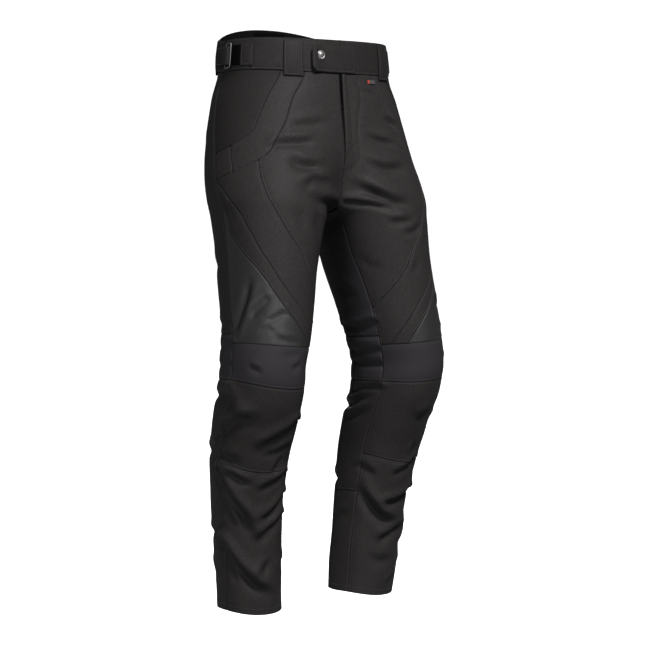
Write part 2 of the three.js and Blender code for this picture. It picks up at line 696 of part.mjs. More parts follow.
function addRing(side, word) {
  const { width, height, bar, thick, corner } = RING;
  const frame = roundedRect(new THREE.Shape(), width, height, corner);
  const inside = roundedRect(new THREE.Path(), width - 2 * bar, height - 2 * bar, corner / 2);
  frame.holes.push(inside);
  const solid = new THREE.ExtrudeGeometry(frame, { depth: thick, bevelEnabled: false, curveSegments: 3 });
  const middle = (ADJUSTER.top + ADJUSTER.foot) / 2;
  const seat = waistPoint(side * RING.u, middle);
  const above = waistPoint(side * RING.u, middle + 4).point;
  const below = waistPoint(side * RING.u, middle - 4).point;
  const up = above.sub(below).normalize();
  const out = seat.normal.clone().addScaledVector(up, -seat.normal.dot(up)).normalize();
  const ring = addPiece(`adjuster_ring_${word}`, solid, GUNMETAL);
  ring.quaternion.setFromRotationMatrix(new THREE.Matrix4().makeBasis(up.clone().cross(out), up, out));
  ring.position.copy(seat.point).addScaledVector(seat.normal, RING.lift);
}

// The fly flap is the first column of the left front panel's grid, moved out
function addFlyFlap() {
  const count = panelLevels(WAIST_SEAM, FLY_FOOT, {}, true).length;
  const rows = grids.front_panel_left.slice(0, count).map((row) => row.slice(0, 2));
  addPiece('fly_flap', wallGeometry(rows, TRIM_CLOTH, () => LAY_GAP), CHARCOAL);
}

function addSeamTab() {
  const rows = waistRows({ ...SEAM_TAB, count: 2, levels: 2 });
  addPiece('seam_tab', wallGeometry(rows, TRIM_CLOTH, () => LAY_GAP), BLACK_WEB);
}

function addInsideLabel() {
  const half = waistRun(WAIST_SEAM).run.at(-1);
  const rows = waistRows({
    from: half - LABEL.half, to: half + LABEL.half, top: LABEL.top, foot: LABEL.foot, count: 6, levels: 2,
  });
  const inward = -BAND_CLOTH - SEAM_GAP - LABEL.thick;
  addPiece('inside_label', wallGeometry(rows, LABEL.thick, () => inward), BLACK_WEB);
}

// Front of the hip and thigh
addPanel('front_panel', {
  top: WAIST_SEAM,
  foot: FRONT_PANEL_TIP,
  from: ['centreFront', 'frontInseam'],
  to: ['frontSeam', 'thighSeam'],
  columns: 9,
  slanting: true,
  tips: { foot: true },
});
addPanel('hip_band', {
  top: WAIST_SEAM,
  foot: BAND_END_FOOT,
  from: ['frontSeam'],
  to: ['hipSeam', 'bandEndSeam'],
  columns: 2,
  slanting: true,
  tips: { foot: true },
});
addPanel('hip_band_end', {
  top: BAND_END_TOP,
  foot: DIAGONAL_TOP,
  from: ['bandEndSeam', 'frontSeam'],
  to: ['hipSeam', 'outseam'],
  columns: 2,
  slanting: true,
  tips: { top: true, foot: true },
});
addPanel('side_hip_panel', {
  top: WAIST_SEAM,
  foot: HIP_SEAM_END,
  from: ['hipSeam'],
  to: ['outseam'],
  columns: 5,
  tips: { foot: true },
  slanting: true,
});
addPanel('thigh_panel', {
  top: THIGH_TOP,
  foot: KNEE_TOP,
  from: ['thighSeam', 'frontInseam'],
  to: ['frontSeam', 'bandUpper', 'outseam'],
  columns: 5,
  tips: { top: true },
  slanting: true,
});
addPanel('diagonal_band', {
  top: DIAGONAL_TOP,
  foot: KNEE_TOP,
  from: ['bandUpper'],
  to: ['bandLower', 'outseam'],
  columns: 2,
  slanting: true,
  tips: { top: true },
});
addPanel('side_panel', {
  top: INSEAM_TOP,
  foot: KNEE_TOP,
  from: ['bandLower'],
  to: ['outseam'],
  columns: 7,
  slanting: true,
  material: SIDE_CLOTH,
  tips: { top: true },
});

// Knee, shin and hem at the front
const frontEdges = { from: ['frontInseam'], to: ['outseam'], columns: 11 };
addPanel('knee_band', { top: KNEE_TOP, foot: KNEE_FOOT, material: STRETCH, ...frontEdges });
addPanel('shin_panel', { top: KNEE_FOOT, foot: SHIN_SEAM, ...frontEdges });
addPanel('lower_front', { top: SHIN_SEAM, foot: HEM, ...frontEdges });

// Inside of the leg
const innerEdges = { from: ['innerBack'], to: ['frontInseam'], columns: INNER_COLUMNS };
addInnerThigh();
addPanel('inner_knee', { top: BACK_KNEE_TOP, foot: KNEE_FOOT, material: STRETCH, ...innerEdges });
addPanel('inner_calf', { top: KNEE_FOOT, foot: CALF_SEAM, ...innerEdges });
addPanel('inner_hem', { top: CALF_SEAM, foot: HEM, ...innerEdges });

// Back
const backEdges = { from: ['outseam'], to: ['centreBack', 'backInseam'], columns: 9 };
addPanel('back_yoke', { top: WAIST_SEAM, foot: YOKE_SEAM, rise: yokeRise, ...backEdges });
addPanel('back_panel', {
  top: YOKE_SEAM, foot: BACK_KNEE_TOP, rise: yokeRise, slanting: true, ...backEdges,
});
addPanel('back_knee', { top: BACK_KNEE_TOP, foot: KNEE_FOOT, material: STRETCH, ...backEdges });
addPanel('back_calf', { top: KNEE_FOOT, foot: HEM, ...backEdges });

// Waistband and what is sewn on it
addWaistband();
addFrontTab();
addBeltLoops();
addAdjusters();
addFlyFlap();
addSeamTab();
addInsideLabel();

export default trousers;
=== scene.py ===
"""Motorcycle trousers of black softshell, filled out as if worn, with no wearer: the looks.

The cloth is worked out in millimetres on the part's own form and turned into metres at the end.
A point of the cloth is its leg (side -1 is the wearer's right), its turn round that leg in
degrees (0 faces the other leg, 90 the front, 180 the outer side, 270 the back) and its level.
"""

import math

import bpy
import numpy as np
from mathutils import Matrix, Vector


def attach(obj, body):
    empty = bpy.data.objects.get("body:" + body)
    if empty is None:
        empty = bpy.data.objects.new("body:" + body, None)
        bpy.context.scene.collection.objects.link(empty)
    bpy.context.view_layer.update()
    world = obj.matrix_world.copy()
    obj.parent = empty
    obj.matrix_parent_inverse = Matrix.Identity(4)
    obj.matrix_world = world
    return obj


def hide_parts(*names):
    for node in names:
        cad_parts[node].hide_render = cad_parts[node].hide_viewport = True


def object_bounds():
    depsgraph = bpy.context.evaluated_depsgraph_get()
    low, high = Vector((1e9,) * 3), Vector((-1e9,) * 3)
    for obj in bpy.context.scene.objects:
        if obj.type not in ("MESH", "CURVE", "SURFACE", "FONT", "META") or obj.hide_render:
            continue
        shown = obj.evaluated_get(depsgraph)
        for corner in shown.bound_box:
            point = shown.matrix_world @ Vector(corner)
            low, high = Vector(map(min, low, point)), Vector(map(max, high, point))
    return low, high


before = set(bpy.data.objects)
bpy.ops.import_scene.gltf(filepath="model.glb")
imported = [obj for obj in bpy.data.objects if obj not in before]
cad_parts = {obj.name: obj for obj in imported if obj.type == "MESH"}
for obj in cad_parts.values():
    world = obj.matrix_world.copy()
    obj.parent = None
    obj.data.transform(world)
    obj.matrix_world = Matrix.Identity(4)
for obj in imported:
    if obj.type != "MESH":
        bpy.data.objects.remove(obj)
cad_low, cad_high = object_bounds()

MM = 0.001
LOOK = "look_"
RIGHT, LEFT = -1, 1
SIDES = ((RIGHT, "right"), (LEFT, "left"))

# Sizes, in millimetres

CLOTH = 2.0
BAND_CLOTH = 2.6
TRIM_CLOTH = 1.8
SEAM_GAP = 0.06
LEVEL_GAP = 0.1
LAY_GAP = 0.9
TIP = 1.3
STEP = 4.2

WAIST_TOP = 20
WAIST_SEAM = -37
YOKE_SEAM = -120
HIP_SEAM_END = -188
THIGH_TOP = -203
BAND_END_TOP = -176
BAND_END_FOOT = -224
DIAGONAL_TOP = -236
INSEAM_TOP = -284
FRONT_PANEL_TIP = -458
BACK_KNEE_TOP = -505
KNEE_TOP = -520
KNEE_FOOT = -584
SHIN_SEAM = -727
CALF_SEAM = -800
HEM = -991

SQUARENESS = 2.2
YOKE_RISE = 54
YOKE_RISE_END = -290

# Sections of one leg, as in the part: an oval at (across, along) with its half widths towards
# the outside and the inside and its half depth. The legs join where they come nearer than merge.
# Twist turns the oval, and a level line bends by the last three at front, back and inside.
SECTIONS = (
    # z, across, along, outer, inner, deep, merge, twist, front, back, inside
    (20, 0, 6, 160, 160, 117, 0, 0, -6, 41, 0),
    (-37, 0, 4, 165, 165, 119, 0, 0, -9, 37, 0),
    (-85, 24, 0, 155, 148, 119, 8, 0, -6, 20, 0),
    (-135, 48, -5, 143, 130, 120, 18, 1, -3, 6, 0),
    (-190, 76, -14, 125, 112, 121, 26, 3, 0, 0, 0),
    (-245, 98, -29, 110, 99, 120, 27, 5, 0, 0, 0),
    (-278, 107, -39, 101, 103, 117, 22, 6, 0, 0, 0),
    (-294, 109, -42, 96, 98, 115, 11, 6, 0, 0, 0),
    (-320, 113, -46, 90, 93, 113, 2, 7, 0, 0, 0),
    (-390, 122, -56, 79, 82, 109, 0, 8, 0, 0, 0),
    (-450, 130, -69, 75, 76, 102, 0, 8, 0, 0, -4),
    (-520, 141, -82, 70, 70, 96, 0, 8, -2, 0, -10),
    (-560, 147, -83, 67, 67, 95, 0, 8, -6, 0, -11),
    (-600, 147, -76, 68, 68, 91, 0, 8, -12, 0, -12),
    (-660, 144, -52, 69, 69, 84, 0, 8, -14, 0, -6),
    (-728, 141, -28, 66, 66, 77, 0, 8, -19, 0, 0),
    (-840, 133, -11, 59, 59, 67, 0, 8, -12, 2, 0),
    (-920, 127, -5, 56, 56, 65, 0, 8, -10, 4, 0),
    (-991, 122, -2, 55, 55, 62, 0, 8, -7, 4, 0),
)

# How far each leg is held up, and how far more at RAISE_REACH from the centre plane
RIGHT_RAISES = ((20, 0, -5), (-190, 0, -2), (-320, 0, 0), (-991, 0, 0))
LEFT_RAISES = (
    (20, 0, 5), (-190, 0, 4), (-320, 0, 5), (-520, 0, 8), (-584, 0, 9), (-650, 3, 6),
    (-727, 5, 2), (-850, 9, 0), (-991, 14, 0),
)
RAISE_REACH = 150

# Seams that run down the leg, as (level, turn)
SEAMS = {
    "outseam": (
        (20, 187), (-37, 187), (-90, 186), (-176, 179), (-188, 178.5), (-236, 176.2), (-260, 175),
        (-284, 174.7), (-360, 174), (-440, 175), (-505, 172), (-584, 170), (-700, 169),
        (-760, 167), (-840, 165), (-930, 162), (-991, 162),
    ),
    "hipSeam": (
        (-37, 131), (-88, 136), (-148, 141), (-158, 145), (-164, 150), (-176, 161), (-188, 178.5),
    ),
    "frontSeam": (
        (-37, 114), (-92, 117), (-132, 117), (-176, 121), (-188, 123), (-197, 127), (-203, 132),
        (-224, 156), (-236, 176.2),
    ),
    "bandEndSeam": ((-176, 161), (-224, 156)),
    "thighSeam": (
        (-203, 132), (-236, 128), (-272, 120), (-298, 111), (-338, 94), (-364, 82), (-390, 73),
        (-416, 56), (-440, 36), (-458, 19),
    ),
    "bandUpper": (
        (-236, 176.2), (-260, 166), (-298, 151), (-364, 128), (-408, 107), (-446, 86), (-487, 56),
        (-505, 41), (-520, 30),
    ),
    "bandLower": (
        (-284, 174.7), (-289, 172.8), (-330, 167), (-364, 151), (-392, 134), (-430, 113),
        (-476, 86), (-505, 63), (-520, 52),
    ),
    "frontInseam": (
        (-290, 19), (-312, 14), (-364, 12), (-408, 16), (-458, 19), (-520, 17), (-560, 15),
        (-612, 16), (-727, 19), (-800, 18), (-910, 16), (-991, 17),
    ),
    "backInseam": (
        (-290, 323), (-312, 325), (-364, 327), (-505, 328), (-584, 328), (-800, 332), (-991, 334),
    ),
}

# The fly's J seam, as (turn, level)
FLY_SEAM = ((100, -46), (99, -64), (88, -120), (76, -170), (68, -196), (58, -212), (49, -222))

# Folds of each leg: half width, depth, share of the ridge on the upper side (minus: the lower
# side), which ends keep their depth (s start, e end), and the line as (turn, level)
RIGHT_FOLDS = (
    # hip and thigh
    (9, 2.2, 0.5, "", ((116, -142), (101, -137), (84, -132))),
    (8, 4.0, 0.5, "s", ((118, -174), (102, -172), (88, -169))),
    (8, 5.2, 0.5, "", ((109, -197), (96, -212), (72, -219))),
    (9, 4.4, 0.5, "", ((94, -262), (80, -240), (52, -248))),
    (10, 6.0, 0.5, "e", ((92, -254), (66, -277), (14, -287))),
    (10, 2.0, 0.4, "", ((92, -286), (78, -334))),
    (10, 2.2, 0.4, "", ((70, -292), (48, -344))),
    (4, 2.4, 0.2, "", ((172, -262), (170, -294))),
    # side panel
    (8, 4.2, -0.6, "e", ((139, -402), (151, -452), (165, -494))),
    (6, 3.0, 0.6, "s", ((121, -446), (137, -466), (144, -482))),
    (5, 2.8, 0.6, "s", ((100, -468), (124, -486))),
    (5, 2.6, 0.6, "", ((114, -503), (98, -510), (70, -513))),
    (4, 2.2, 0.6, "", ((134, -500), (118, -492), (108, -498))),
    # knee and shin
    (5, 2.6, 0.5, "", ((145, -557), (120, -564))),
    (5, 3.0, 0.5, "", ((84, -557), (62, -543))),
    (7, 1.2, 0.4, "", ((104, -536), (66, -530))),
    (11, 3.8, 0.7, "s", ((173, -614), (156, -638), (138, -654))),
    (11, 4.8, 0.7, "s", ((166, -674), (150, -654), (110, -638))),
    (9, 4.4, 0.8, "s", ((56, -644), (80, -664), (100, -683), (118, -698))),
    (6, 2.4, 0.6, "s", ((60, -685), (87, -694), (106, -700))),
    (8, 2.8, 0.6, "s", ((167, -712), (145, -716), (124, -715))),
    (6, 2.4, 0.5, "e", ((66, -698), (78, -724))),
    # lower leg
    (7, 3.6, 0.7, "s", ((163, -739), (126, -748), (106, -751))),
    (7, 3.4, 0.7, "s", ((55, -739), (84, -750), (104, -765))),
    (11, 5.0, 0.8, "s", ((166, -756), (146, -786), (124, -810), (103, -864))),
    (8, 2.6, 0.6, "s", ((167, -790), (146, -822), (130, -842))),
    (9, 4.2, 0.7, "s", ((48, -784), (77, -808), (102, -828))),
    (9, 3.8, 0.7, "s", ((50, -822), (79, -838), (106, -868))),
    (11, 5.6, 0.8, "s", ((166, -876), (138, -908), (108, -936), (65, -966))),
    (7, 2.0, 0.6, "s", ((164, -900), (146, -924), (132, -946))),
    (7, 3.2, 0.7, "", ((74, -884), (98, -928))),
    (9, 2.2, 0.5, "s", ((34, -908), (60, -926))),
    # inner leg
    (6, 4.0, 0.5, "se", ((-38, -484), (0, -490), (16, -484))),
    (6, 3.4, 0.5, "e", ((-40, -606), (-6, -600), (14, -592))),
    (7, 3.0, 0.5, "", ((-28, -640), (12, -624))),
    (9, 2.2, 0.4, "", ((-26, -410), (6, -436))),
    (8, 2.6, 0.5, "", ((-30, -742), (10, -716))),
    (8, 2.4, 0.5, "", ((-26, -884), (12, -850))),
    # seat and back of the thigh
    (12, 3.0, 0.4, "", ((200, -160), (230, -176), (262, -170))),
    (11, 4.6, 0.5, "", ((208, -290), (240, -300), (286, -272))),
    (10, 3.4, 0.5, "", ((226, -322), (262, -334), (306, -304))),
    (10, 2.4, 0.4, "", ((196, -370), (226, -396))),
    (9, 3.0, 0.5, "", ((206, -452), (250, -466), (300, -450))),
    (7, 3.6, 0.5, "", ((188, -486), (240, -492), (322, -484))),
    # back of the lower leg
    (8, 2.8, 0.5, "s", ((172, -604), (214, -612), (262, -606))),
    (8, 2.4, 0.5, "e", ((204, -648), (252, -640), (326, -622))),
    (9, 2.2, 0.5, "s", ((170, -690), (206, -712), (250, -706))),
    (9, 3.0, 0.5, "", ((204, -764), (232, -790), (266, -812))),
    (8, 3.4, 0.5, "e", ((284, -768), (328, -742))),
    (8, 2.2, 0.5, "s", ((168, -838), (204, -858), (238, -852))),
    (9, 3.2, 0.5, "", ((264, -900), (232, -914), (198, -938))),
)
LEFT_FOLDS = (
    # the fly's J seam
    (3.2, 0.8, 0.3, "se", FLY_SEAM),
    # hip and thigh
    (6, 1.2, 0.4, "", ((94, -69), (112, -73))),
    (7, 3.6, 0.5, "", ((106, -116), (126, -135))),
    (7, 4.4, 0.5, "", ((84, -150), (94, -163), (111, -168))),
    (8, 5.2, 0.5, "", ((66, -202), (86, -215), (112, -208))),
    (10, 7.2, 0.6, "", ((40, -243), (58, -257), (76, -275), (99, -279))),
    (6, 5.0, 0.6, "s", ((29, -273), (48, -278), (67, -284), (81, -296))),
    (7, 3.6, 0.6, "", ((58, -311), (96, -309))),
    (7, 3.4, 0.5, "", ((72, -331), (90, -328), (104, -312))),
    (9, 0.9, 0.4, "", ((16, -363), (29, -388), (50, -392))),
    (8, 1.6, 0.4, "", ((92, -374), (78, -408))),
    # shin and lower leg
    (10, 3.8, 0.6, "", ((104, -632), (82, -656))),
    (7, 2.4, 0.5, "e", ((97, -690), (96, -714))),
    (7, 3.2, 0.6, "s", ((106, -728), (83, -746), (66, -758))),
    (11, 6.2, 0.8, "", ((8, -782), (54, -832), (80, -847), (110, -858))),
    (8, 4.8, 0.7, "s", ((116, -790), (86, -806), (56, -819))),
    (9, 4.0, 0.7, "s", ((110, -860), (86, -874), (58, -892))),
    (11, 2.8, 0.5, "", ((108, -920), (72, -925), (44, -914))),
    (6, 2.6, 0.5, "", ((115, -951), (92, -974))),
    (8, 2.0, 0.5, "s", ((20, -752), (46, -764))),
    (8, 3.4, 0.6, "", ((-34, -642), (-12, -618), (12, -607))),
    (8, 3.0, 0.6, "", ((-34, -668), (-3, -650), (12, -630))),
    # inner leg
    (6, 4.2, 0.5, "se", ((-38, -487), (0, -491), (14, -482))),
    (6, 3.6, 0.5, "e", ((-40, -611), (-8, -596), (12, -594))),
    (9, 2.0, 0.4, "", ((-24, -420), (8, -440))),
    (8, 2.2, 0.5, "", ((-26, -862), (10, -834))),
    # outer side
    (8, 3.4, -0.6, "e", ((136, -398), (150, -448), (166, -496))),
    (6, 2.4, 0.6, "s", ((118, -450), (134, -462), (148, -478))),
    (5, 2.0, 0.6, "", ((104, -500), (132, -506))),
    (5, 1.8, 0.5, "", ((150, -548), (118, -560))),
    (9, 4.2, 0.6, "s", ((168, -640), (140, -662), (116, -668))),
    (8, 3.0, 0.5, "s", ((168, -694), (136, -704))),
    (8, 4.6, 0.6, "s", ((166, -758), (144, -786), (120, -796))),
    (8, 4.8, 0.6, "s", ((165, -842), (138, -880), (116, -908))),
    (8, 3.0, 0.5, "s", ((162, -916), (140, -944))),
    # seat and back of the thigh
    (12, 2.6, 0.4, "", ((198, -172), (236, -184), (268, -166))),
    (11, 4.8, 0.5, "", ((204, -272), (236, -296), (284, -284))),
    (10, 3.2, 0.5, "", ((232, -330), (270, -322), (312, -300))),
    (10, 2.6, 0.4, "", ((192, -384), (222, -372))),
    (9, 3.2, 0.5, "", ((196, -462), (244, -450), (296, -468))),
    (7, 3.4, 0.5, "", ((186, -484), (244, -490), (322, -487))),
    # back of the lower leg
    (8, 4.0, 0.5, "s", ((172, -612), (220, -606), (268, -612))),
    (8, 3.8, 0.5, "e", ((210, -638), (262, -650), (328, -630))),
    (9, 4.0, 0.5, "s", ((170, -702), (212, -690), (254, -716))),
    (9, 4.8, 0.5, "", ((258, -742), (226, -768), (194, -792))),
    (8, 3.0, 0.5, "e", ((282, -798), (328, -772))),
    (9, 4.6, 0.5, "", ((202, -872), (236, -890), (270, -926))),
    (8, 3.0, 0.5, "s", ((164, -856), (196, -838))),
)
FOLDS = {RIGHT: RIGHT_FOLDS, LEFT: LEFT_FOLDS}
FOLD_GAIN = 1.4
LOWER_FOLD_GAIN = 0.2
LOWER_FOLD_CHANGE = 50

# A fold is felt up to that many of its half widths from its line
FOLD_REACH = 4

# A fold's soft ends as a share of its length, and its ridge's distance and width in half widths
FOLD_END = 0.4
RIDGE_PLACE = 1.6
RIDGE_WIDTH = 1.1

# Unevenness of the cloth above the knees, how much more it has below them and over what height
UNEVEN = 0.45
UNEVEN_BELOW = 0.55
UNEVEN_CHANGE = 60

# Distances from the centre plane over which the folds begin and the cloth leaves the plane
CENTRE_FADE = 15
PLANE_REACH = 1.5

# Pleats of the stretch panels at the inside and back of the knee, as (level, half width, depth)
PLEATS = ((-531, 5, 3.8), (-557, 5, 4.4))
PLEAT_WAVE = 3.0
PLEAT_LIFT = 1.6
PLEAT_FADE = 8
INNER_PLEATS = 1.35
BACK_PLEATS = 0.45

# Distances from a panel's edges and tips at which its grid has a line. Its edges roll in, and its
# topstitching runs in a dip.
NEAR_EDGE = (0, 0.8, 1.8, 3.0, 4.0, 5.0, 6.8)
NEAR_TIP = (0, 2.0)
EDGE_ROLL = 2.2
EDGE_DEPTH = 1.2
TOPSTITCH = 4
HEM_STITCH = 10
STITCH_DIP = 0.5
STITCH_REACH = 1.1
ALL_EDGES = ("start", "end", "top", "foot")

# A stitch, its stations as shares of its length, and its height at each in radii
STITCH = {"long": 3.0, "gap": 1.4, "radius": 0.32}
STATIONS = (0, 0.2, 0.5, 0.8, 1)
RISES = (-0.9, 0.2, 0.45, 0.2, -0.9)

# The fly's flap stands on the left front panel's first columns, and the right panel sinks under it
FLY_FOOT = -224
FLY_COLUMNS = 10
FLY_CROWN = 2.2
FLY_FADE = 45
FLY_FLAT = 0.3
FLY_EDGE = 0.8
FLY_EDGE_ROLL = 1.4
FLY_TOE = 0.6
FLY_TUCK = 0.8
FLY_SINK = 0.25
FLY_STITCH_GAP = 2.2
FLY_GROOVE = {"reach": 7.5, "depth": 6.5, "from": -56, "to": -215}

# Trim along the waistband: u is the distance from the centre front, plus towards the left side
SIDE_SEAM_U = 172
TAB = {"from": -62, "to": 28, "top": 10, "foot": -36, "corner": 12}
LOOP = {"width": 34, "top": 17, "foot": -46, "bulge": 1.6}
LOOP_PLACES = {
    "belt_loop_front_right": -112,
    "belt_loop_front_left": 93,
    "belt_loop_side_right": -330,
    "belt_loop_side_left": 296,
    "belt_loop_back": 446,
}
SEAM_TAB = {"from": 58, "to": 78, "top": -46.5, "foot": -54, "red": 4.5}
LABEL = {"half": 34, "top": 15, "foot": 2, "thick": 1}

# How far the loops and the closing tab stand off, with the tab's lift over its round tip
LOOP_LIFT = 0.8
TAB_GAP = 1.3
TAB_LIFT = 5.6
TAB_TIP = 26

# The snap, and its outline as shares of its radius and its thickness
SNAP = {"u": -45, "z": -8, "radius": 8, "thick": 3, "seat": 0.75, "sides": 48}
SNAP_PROFILE = (
    (0.97, 0), (1, 0.25), (0.96, 0.45), (0.84, 0.62), (0.72, 0.6), (0.68, 0.5), (0.62, 0.72),
    (0.5, 0.92), (0.3, 1), (0.08, 1.02),
)

# The side adjusters. Webbing and strap go round the ring's bars, as (u, lift). The webbing runs on
# inside the ring's window to u 224, a black sheet standing for painted shade over the strap there.
ADJUSTER = {"top": 10, "foot": -30, "patch": 167, "patch_end": 192}
RING = {
    "u": 220, "width": 17, "height": 46, "bar": 2.6, "corner": 3, "lift": 3.2, "corner_steps": 6,
}
WEBBING_AND_SHADE_WAY = ((192.3, 1.6), (200, 1.6), (211, 1.2), (224, 1.2))
STRAP_WAY = (
    (215.2, 2.0), (217, 5.4), (221, 7.0), (229, 7.6), (241, 7.6), (249, 7.2), (258, 5.6),
    (267, 2.8), (275, 0.9), (286, 0.9),
)

# Distances from a trim piece's edges at which its grid has a line, the steps between the others,
# and its stitches' dip. Its edge is soft over SOFT_EDGE, and its middle is full from CROWN_REACH.
TRIM_NEAR = (0, 0.5, 1.2, 2.0, 3.0)
BAND_STEP = 4.0
TRIM_STEP = 3.0
TRIM_STITCH = 3.0
TRIM_DIP = 0.35
TRIM_DIP_REACH = 0.7
SOFT_EDGE = 1.2
SOFT_SHARE = 0.45
CROWN_REACH = 9

# Form


def smooth_table(rows):
    """A smooth curve through a table's rows, given by level, that never swings past them."""
    table = np.array(rows, float)[::-1]
    levels, values = table[:, 0], table[:, 1:]
    step = np.diff(levels)[:, None]
    rise = np.diff(values, axis=0) / step
    before = 2 * step[1:] + step[:-1]
    after = step[1:] + 2 * step[:-1]
    slopes = np.zeros_like(values)
    slopes[0], slopes[-1] = rise[0], rise[-1]
    same = rise[:-1] * rise[1:] > 0
    low = np.where(same, rise[:-1], 1)
    high = np.where(same, rise[1:], 1)
    slopes[1:-1] = np.where(same, (before + after) / (before / low + after / high), 0)

    def at(z):
        z = np.clip(z, levels[0], levels[-1])
        k = np.clip(np.searchsorted(levels, z, side="right"), 1, len(levels) - 1)
        height = (levels[k] - levels[k - 1])[..., None]
        t = (z - levels[k - 1])[..., None] / height
        near = (1 + 2 * t) * (1 - t) ** 2
        leave = t * (1 - t) ** 2 * height
        arrive = t * t * (t - 1) * height
        curve = near * values[k - 1] + (1 - near) * values[k]
        return np.moveaxis(curve + leave * slopes[k - 1] + arrive * slopes[k], -1, 0)

    return at


section_at = smooth_table(SECTIONS)
right_raise_at = smooth_table(RIGHT_RAISES)
left_raise_at = smooth_table(LEFT_RAISES)


def smoothstep(t):
    t = np.clip(t, 0, 1)
    return t * t * (3 - 2 * t)


def unit(v):
    return v / np.maximum(np.linalg.norm(v, axis=-1, keepdims=True), 1e-9)


def oval_point(turn, z):
    turn, z = np.broadcast_arrays(np.asarray(turn, float), np.asarray(z, float))
    across, along, outer, inner, deep, merge, twist, front, back, inside = section_at(z)
    c, n = np.cos(np.radians(turn)), np.sin(np.radians(turn))
    reach = np.where(c > 0, inner, outer)
    px = np.sign(c) * np.abs(c) ** (2 / SQUARENESS) * reach
    py = -np.sign(n) * np.abs(n) ** (2 / SQUARENESS) * deep
    tc, ts = np.cos(np.radians(twist)), np.sin(np.radians(twist))
    bend = np.where(n > 0, front, back) * n * n + inside * (1 + c) / 2
    return -across + px * tc + py * ts, along - px * ts + py * tc, bend, merge


def plain_point(side, turn, z):
    """A point of the plain form. Both legs join smoothly at the centre plane."""
    x, y, bend, merge = oval_point(turn, z)
    apart = np.sqrt(np.where(x > -merge, 0, x * x - merge * merge))
    z = np.broadcast_to(np.asarray(z, float), apart.shape)
    left, right = left_raise_at(z), right_raise_at(z)
    lift, tilt = np.where(np.asarray(side) == LEFT, left, right)
    return np.stack([side * apart, y, z + bend + lift + tilt * apart / RAISE_REACH], -1)


def halve(low, high, is_low):
    """Where is_low changes between low and high, element by element."""
    for _ in range(36):
        middle = (low + high) / 2
        below = is_low(middle)
        low, high = np.where(below, middle, low), np.where(below, high, middle)
    return high


def centre_turn(z, front):
    """The turn at which the leg meets the centre plane, at the front or the back."""
    z = np.asarray(z, float)

    def inside(turn):
        x, _, _, merge = oval_point(turn, z)
        return x + merge > 0

    start, end = (0.0, 100.0) if front else (360.0, 260.0)
    return halve(np.full(z.shape, start), np.full(z.shape, end), inside)


def crotch_level(turn):
    """The level at which a turn near the inside leaves the centre plane."""
    turn = np.asarray(turn, float)

    def joined(z):
        x, _, _, merge = oval_point(turn, z)
        return x > -merge

    return halve(np.full(turn.shape, INSEAM_TOP + 12.0), np.full(turn.shape, INSEAM_TOP - 30.0), joined)


def table_turn(name, z):
    rows = np.array(SEAMS[name])[::-1]
    return np.interp(z, rows[:, 0], rows[:, 1])


def inseam_turn(name, z):
    """An inseam's turn. Its first stretch runs from the centre plane down to its table."""
    top, turn = SEAMS[name][0]
    start = float(centre_turn(INSEAM_TOP, name == "frontInseam"))
    first = start + (turn - start) * (INSEAM_TOP - np.minimum(z, INSEAM_TOP)) / (INSEAM_TOP - top)
    return np.where(z <= top, table_turn(name, z), first)


def edge_turn(name, z):
    """A seam's turn at each level and where it has one."""
    z = np.asarray(z, float)
    if name in ("centreFront", "centreBack"):
        return centre_turn(np.maximum(z, INSEAM_TOP), name == "centreFront"), z > INSEAM_TOP
    if name in ("frontInseam", "backInseam"):
        return inseam_turn(name, z), z <= INSEAM_TOP + TIP
    if name == "innerBack":
        return inseam_turn("backInseam", z) - 360, z <= INSEAM_TOP + TIP
    top, foot = SEAMS[name][0][0], SEAMS[name][-1][0]
    return table_turn(name, z), (z <= top + TIP) & (z >= foot - TIP)


def bounding_turn(names, z, pick, nothing):
    turns = [np.where(real, turn, nothing) for turn, real in (edge_turn(n, z) for n in names)]
    return pick.reduce(turns)


def surface_normal(side, turn, z, points):
    """The way out of the cloth. On the centre plane it is square to the line that runs there."""
    side = np.broadcast_to(np.asarray(side, float), points.shape[:-1])
    step = np.where(np.sin(np.radians(turn)) >= 0, 1.5, -1.5)
    across = plain_point(side, turn + step, z) - points
    down = plain_point(side, turn, z - 3) - plain_point(side, turn, z + 3)
    out = np.cross(across, down) * (-side * np.sign(step))[..., None]
    on_plane = (np.abs(points[..., 0]) < 2 * SEAM_GAP) & (points[..., 2] > INSEAM_TOP - 40)
    if points.ndim == 3 and on_plane.any():
        rows, columns = np.gradient(points, axis=1), np.gradient(points, axis=0)
        lean = np.abs(unit(rows)[..., 0]) < np.abs(unit(columns)[..., 0])
        run = np.where(lean[..., None], rows, columns)
        square = np.stack([np.zeros_like(run[..., 0]), run[..., 2], -run[..., 1]], -1)
        from_middle = points - np.array([0, -30, -150])
        square *= np.sign(np.sum(square * from_middle, -1))[..., None]
        out = np.where(on_plane[..., None], square, out)
    return unit(out)


# Folds


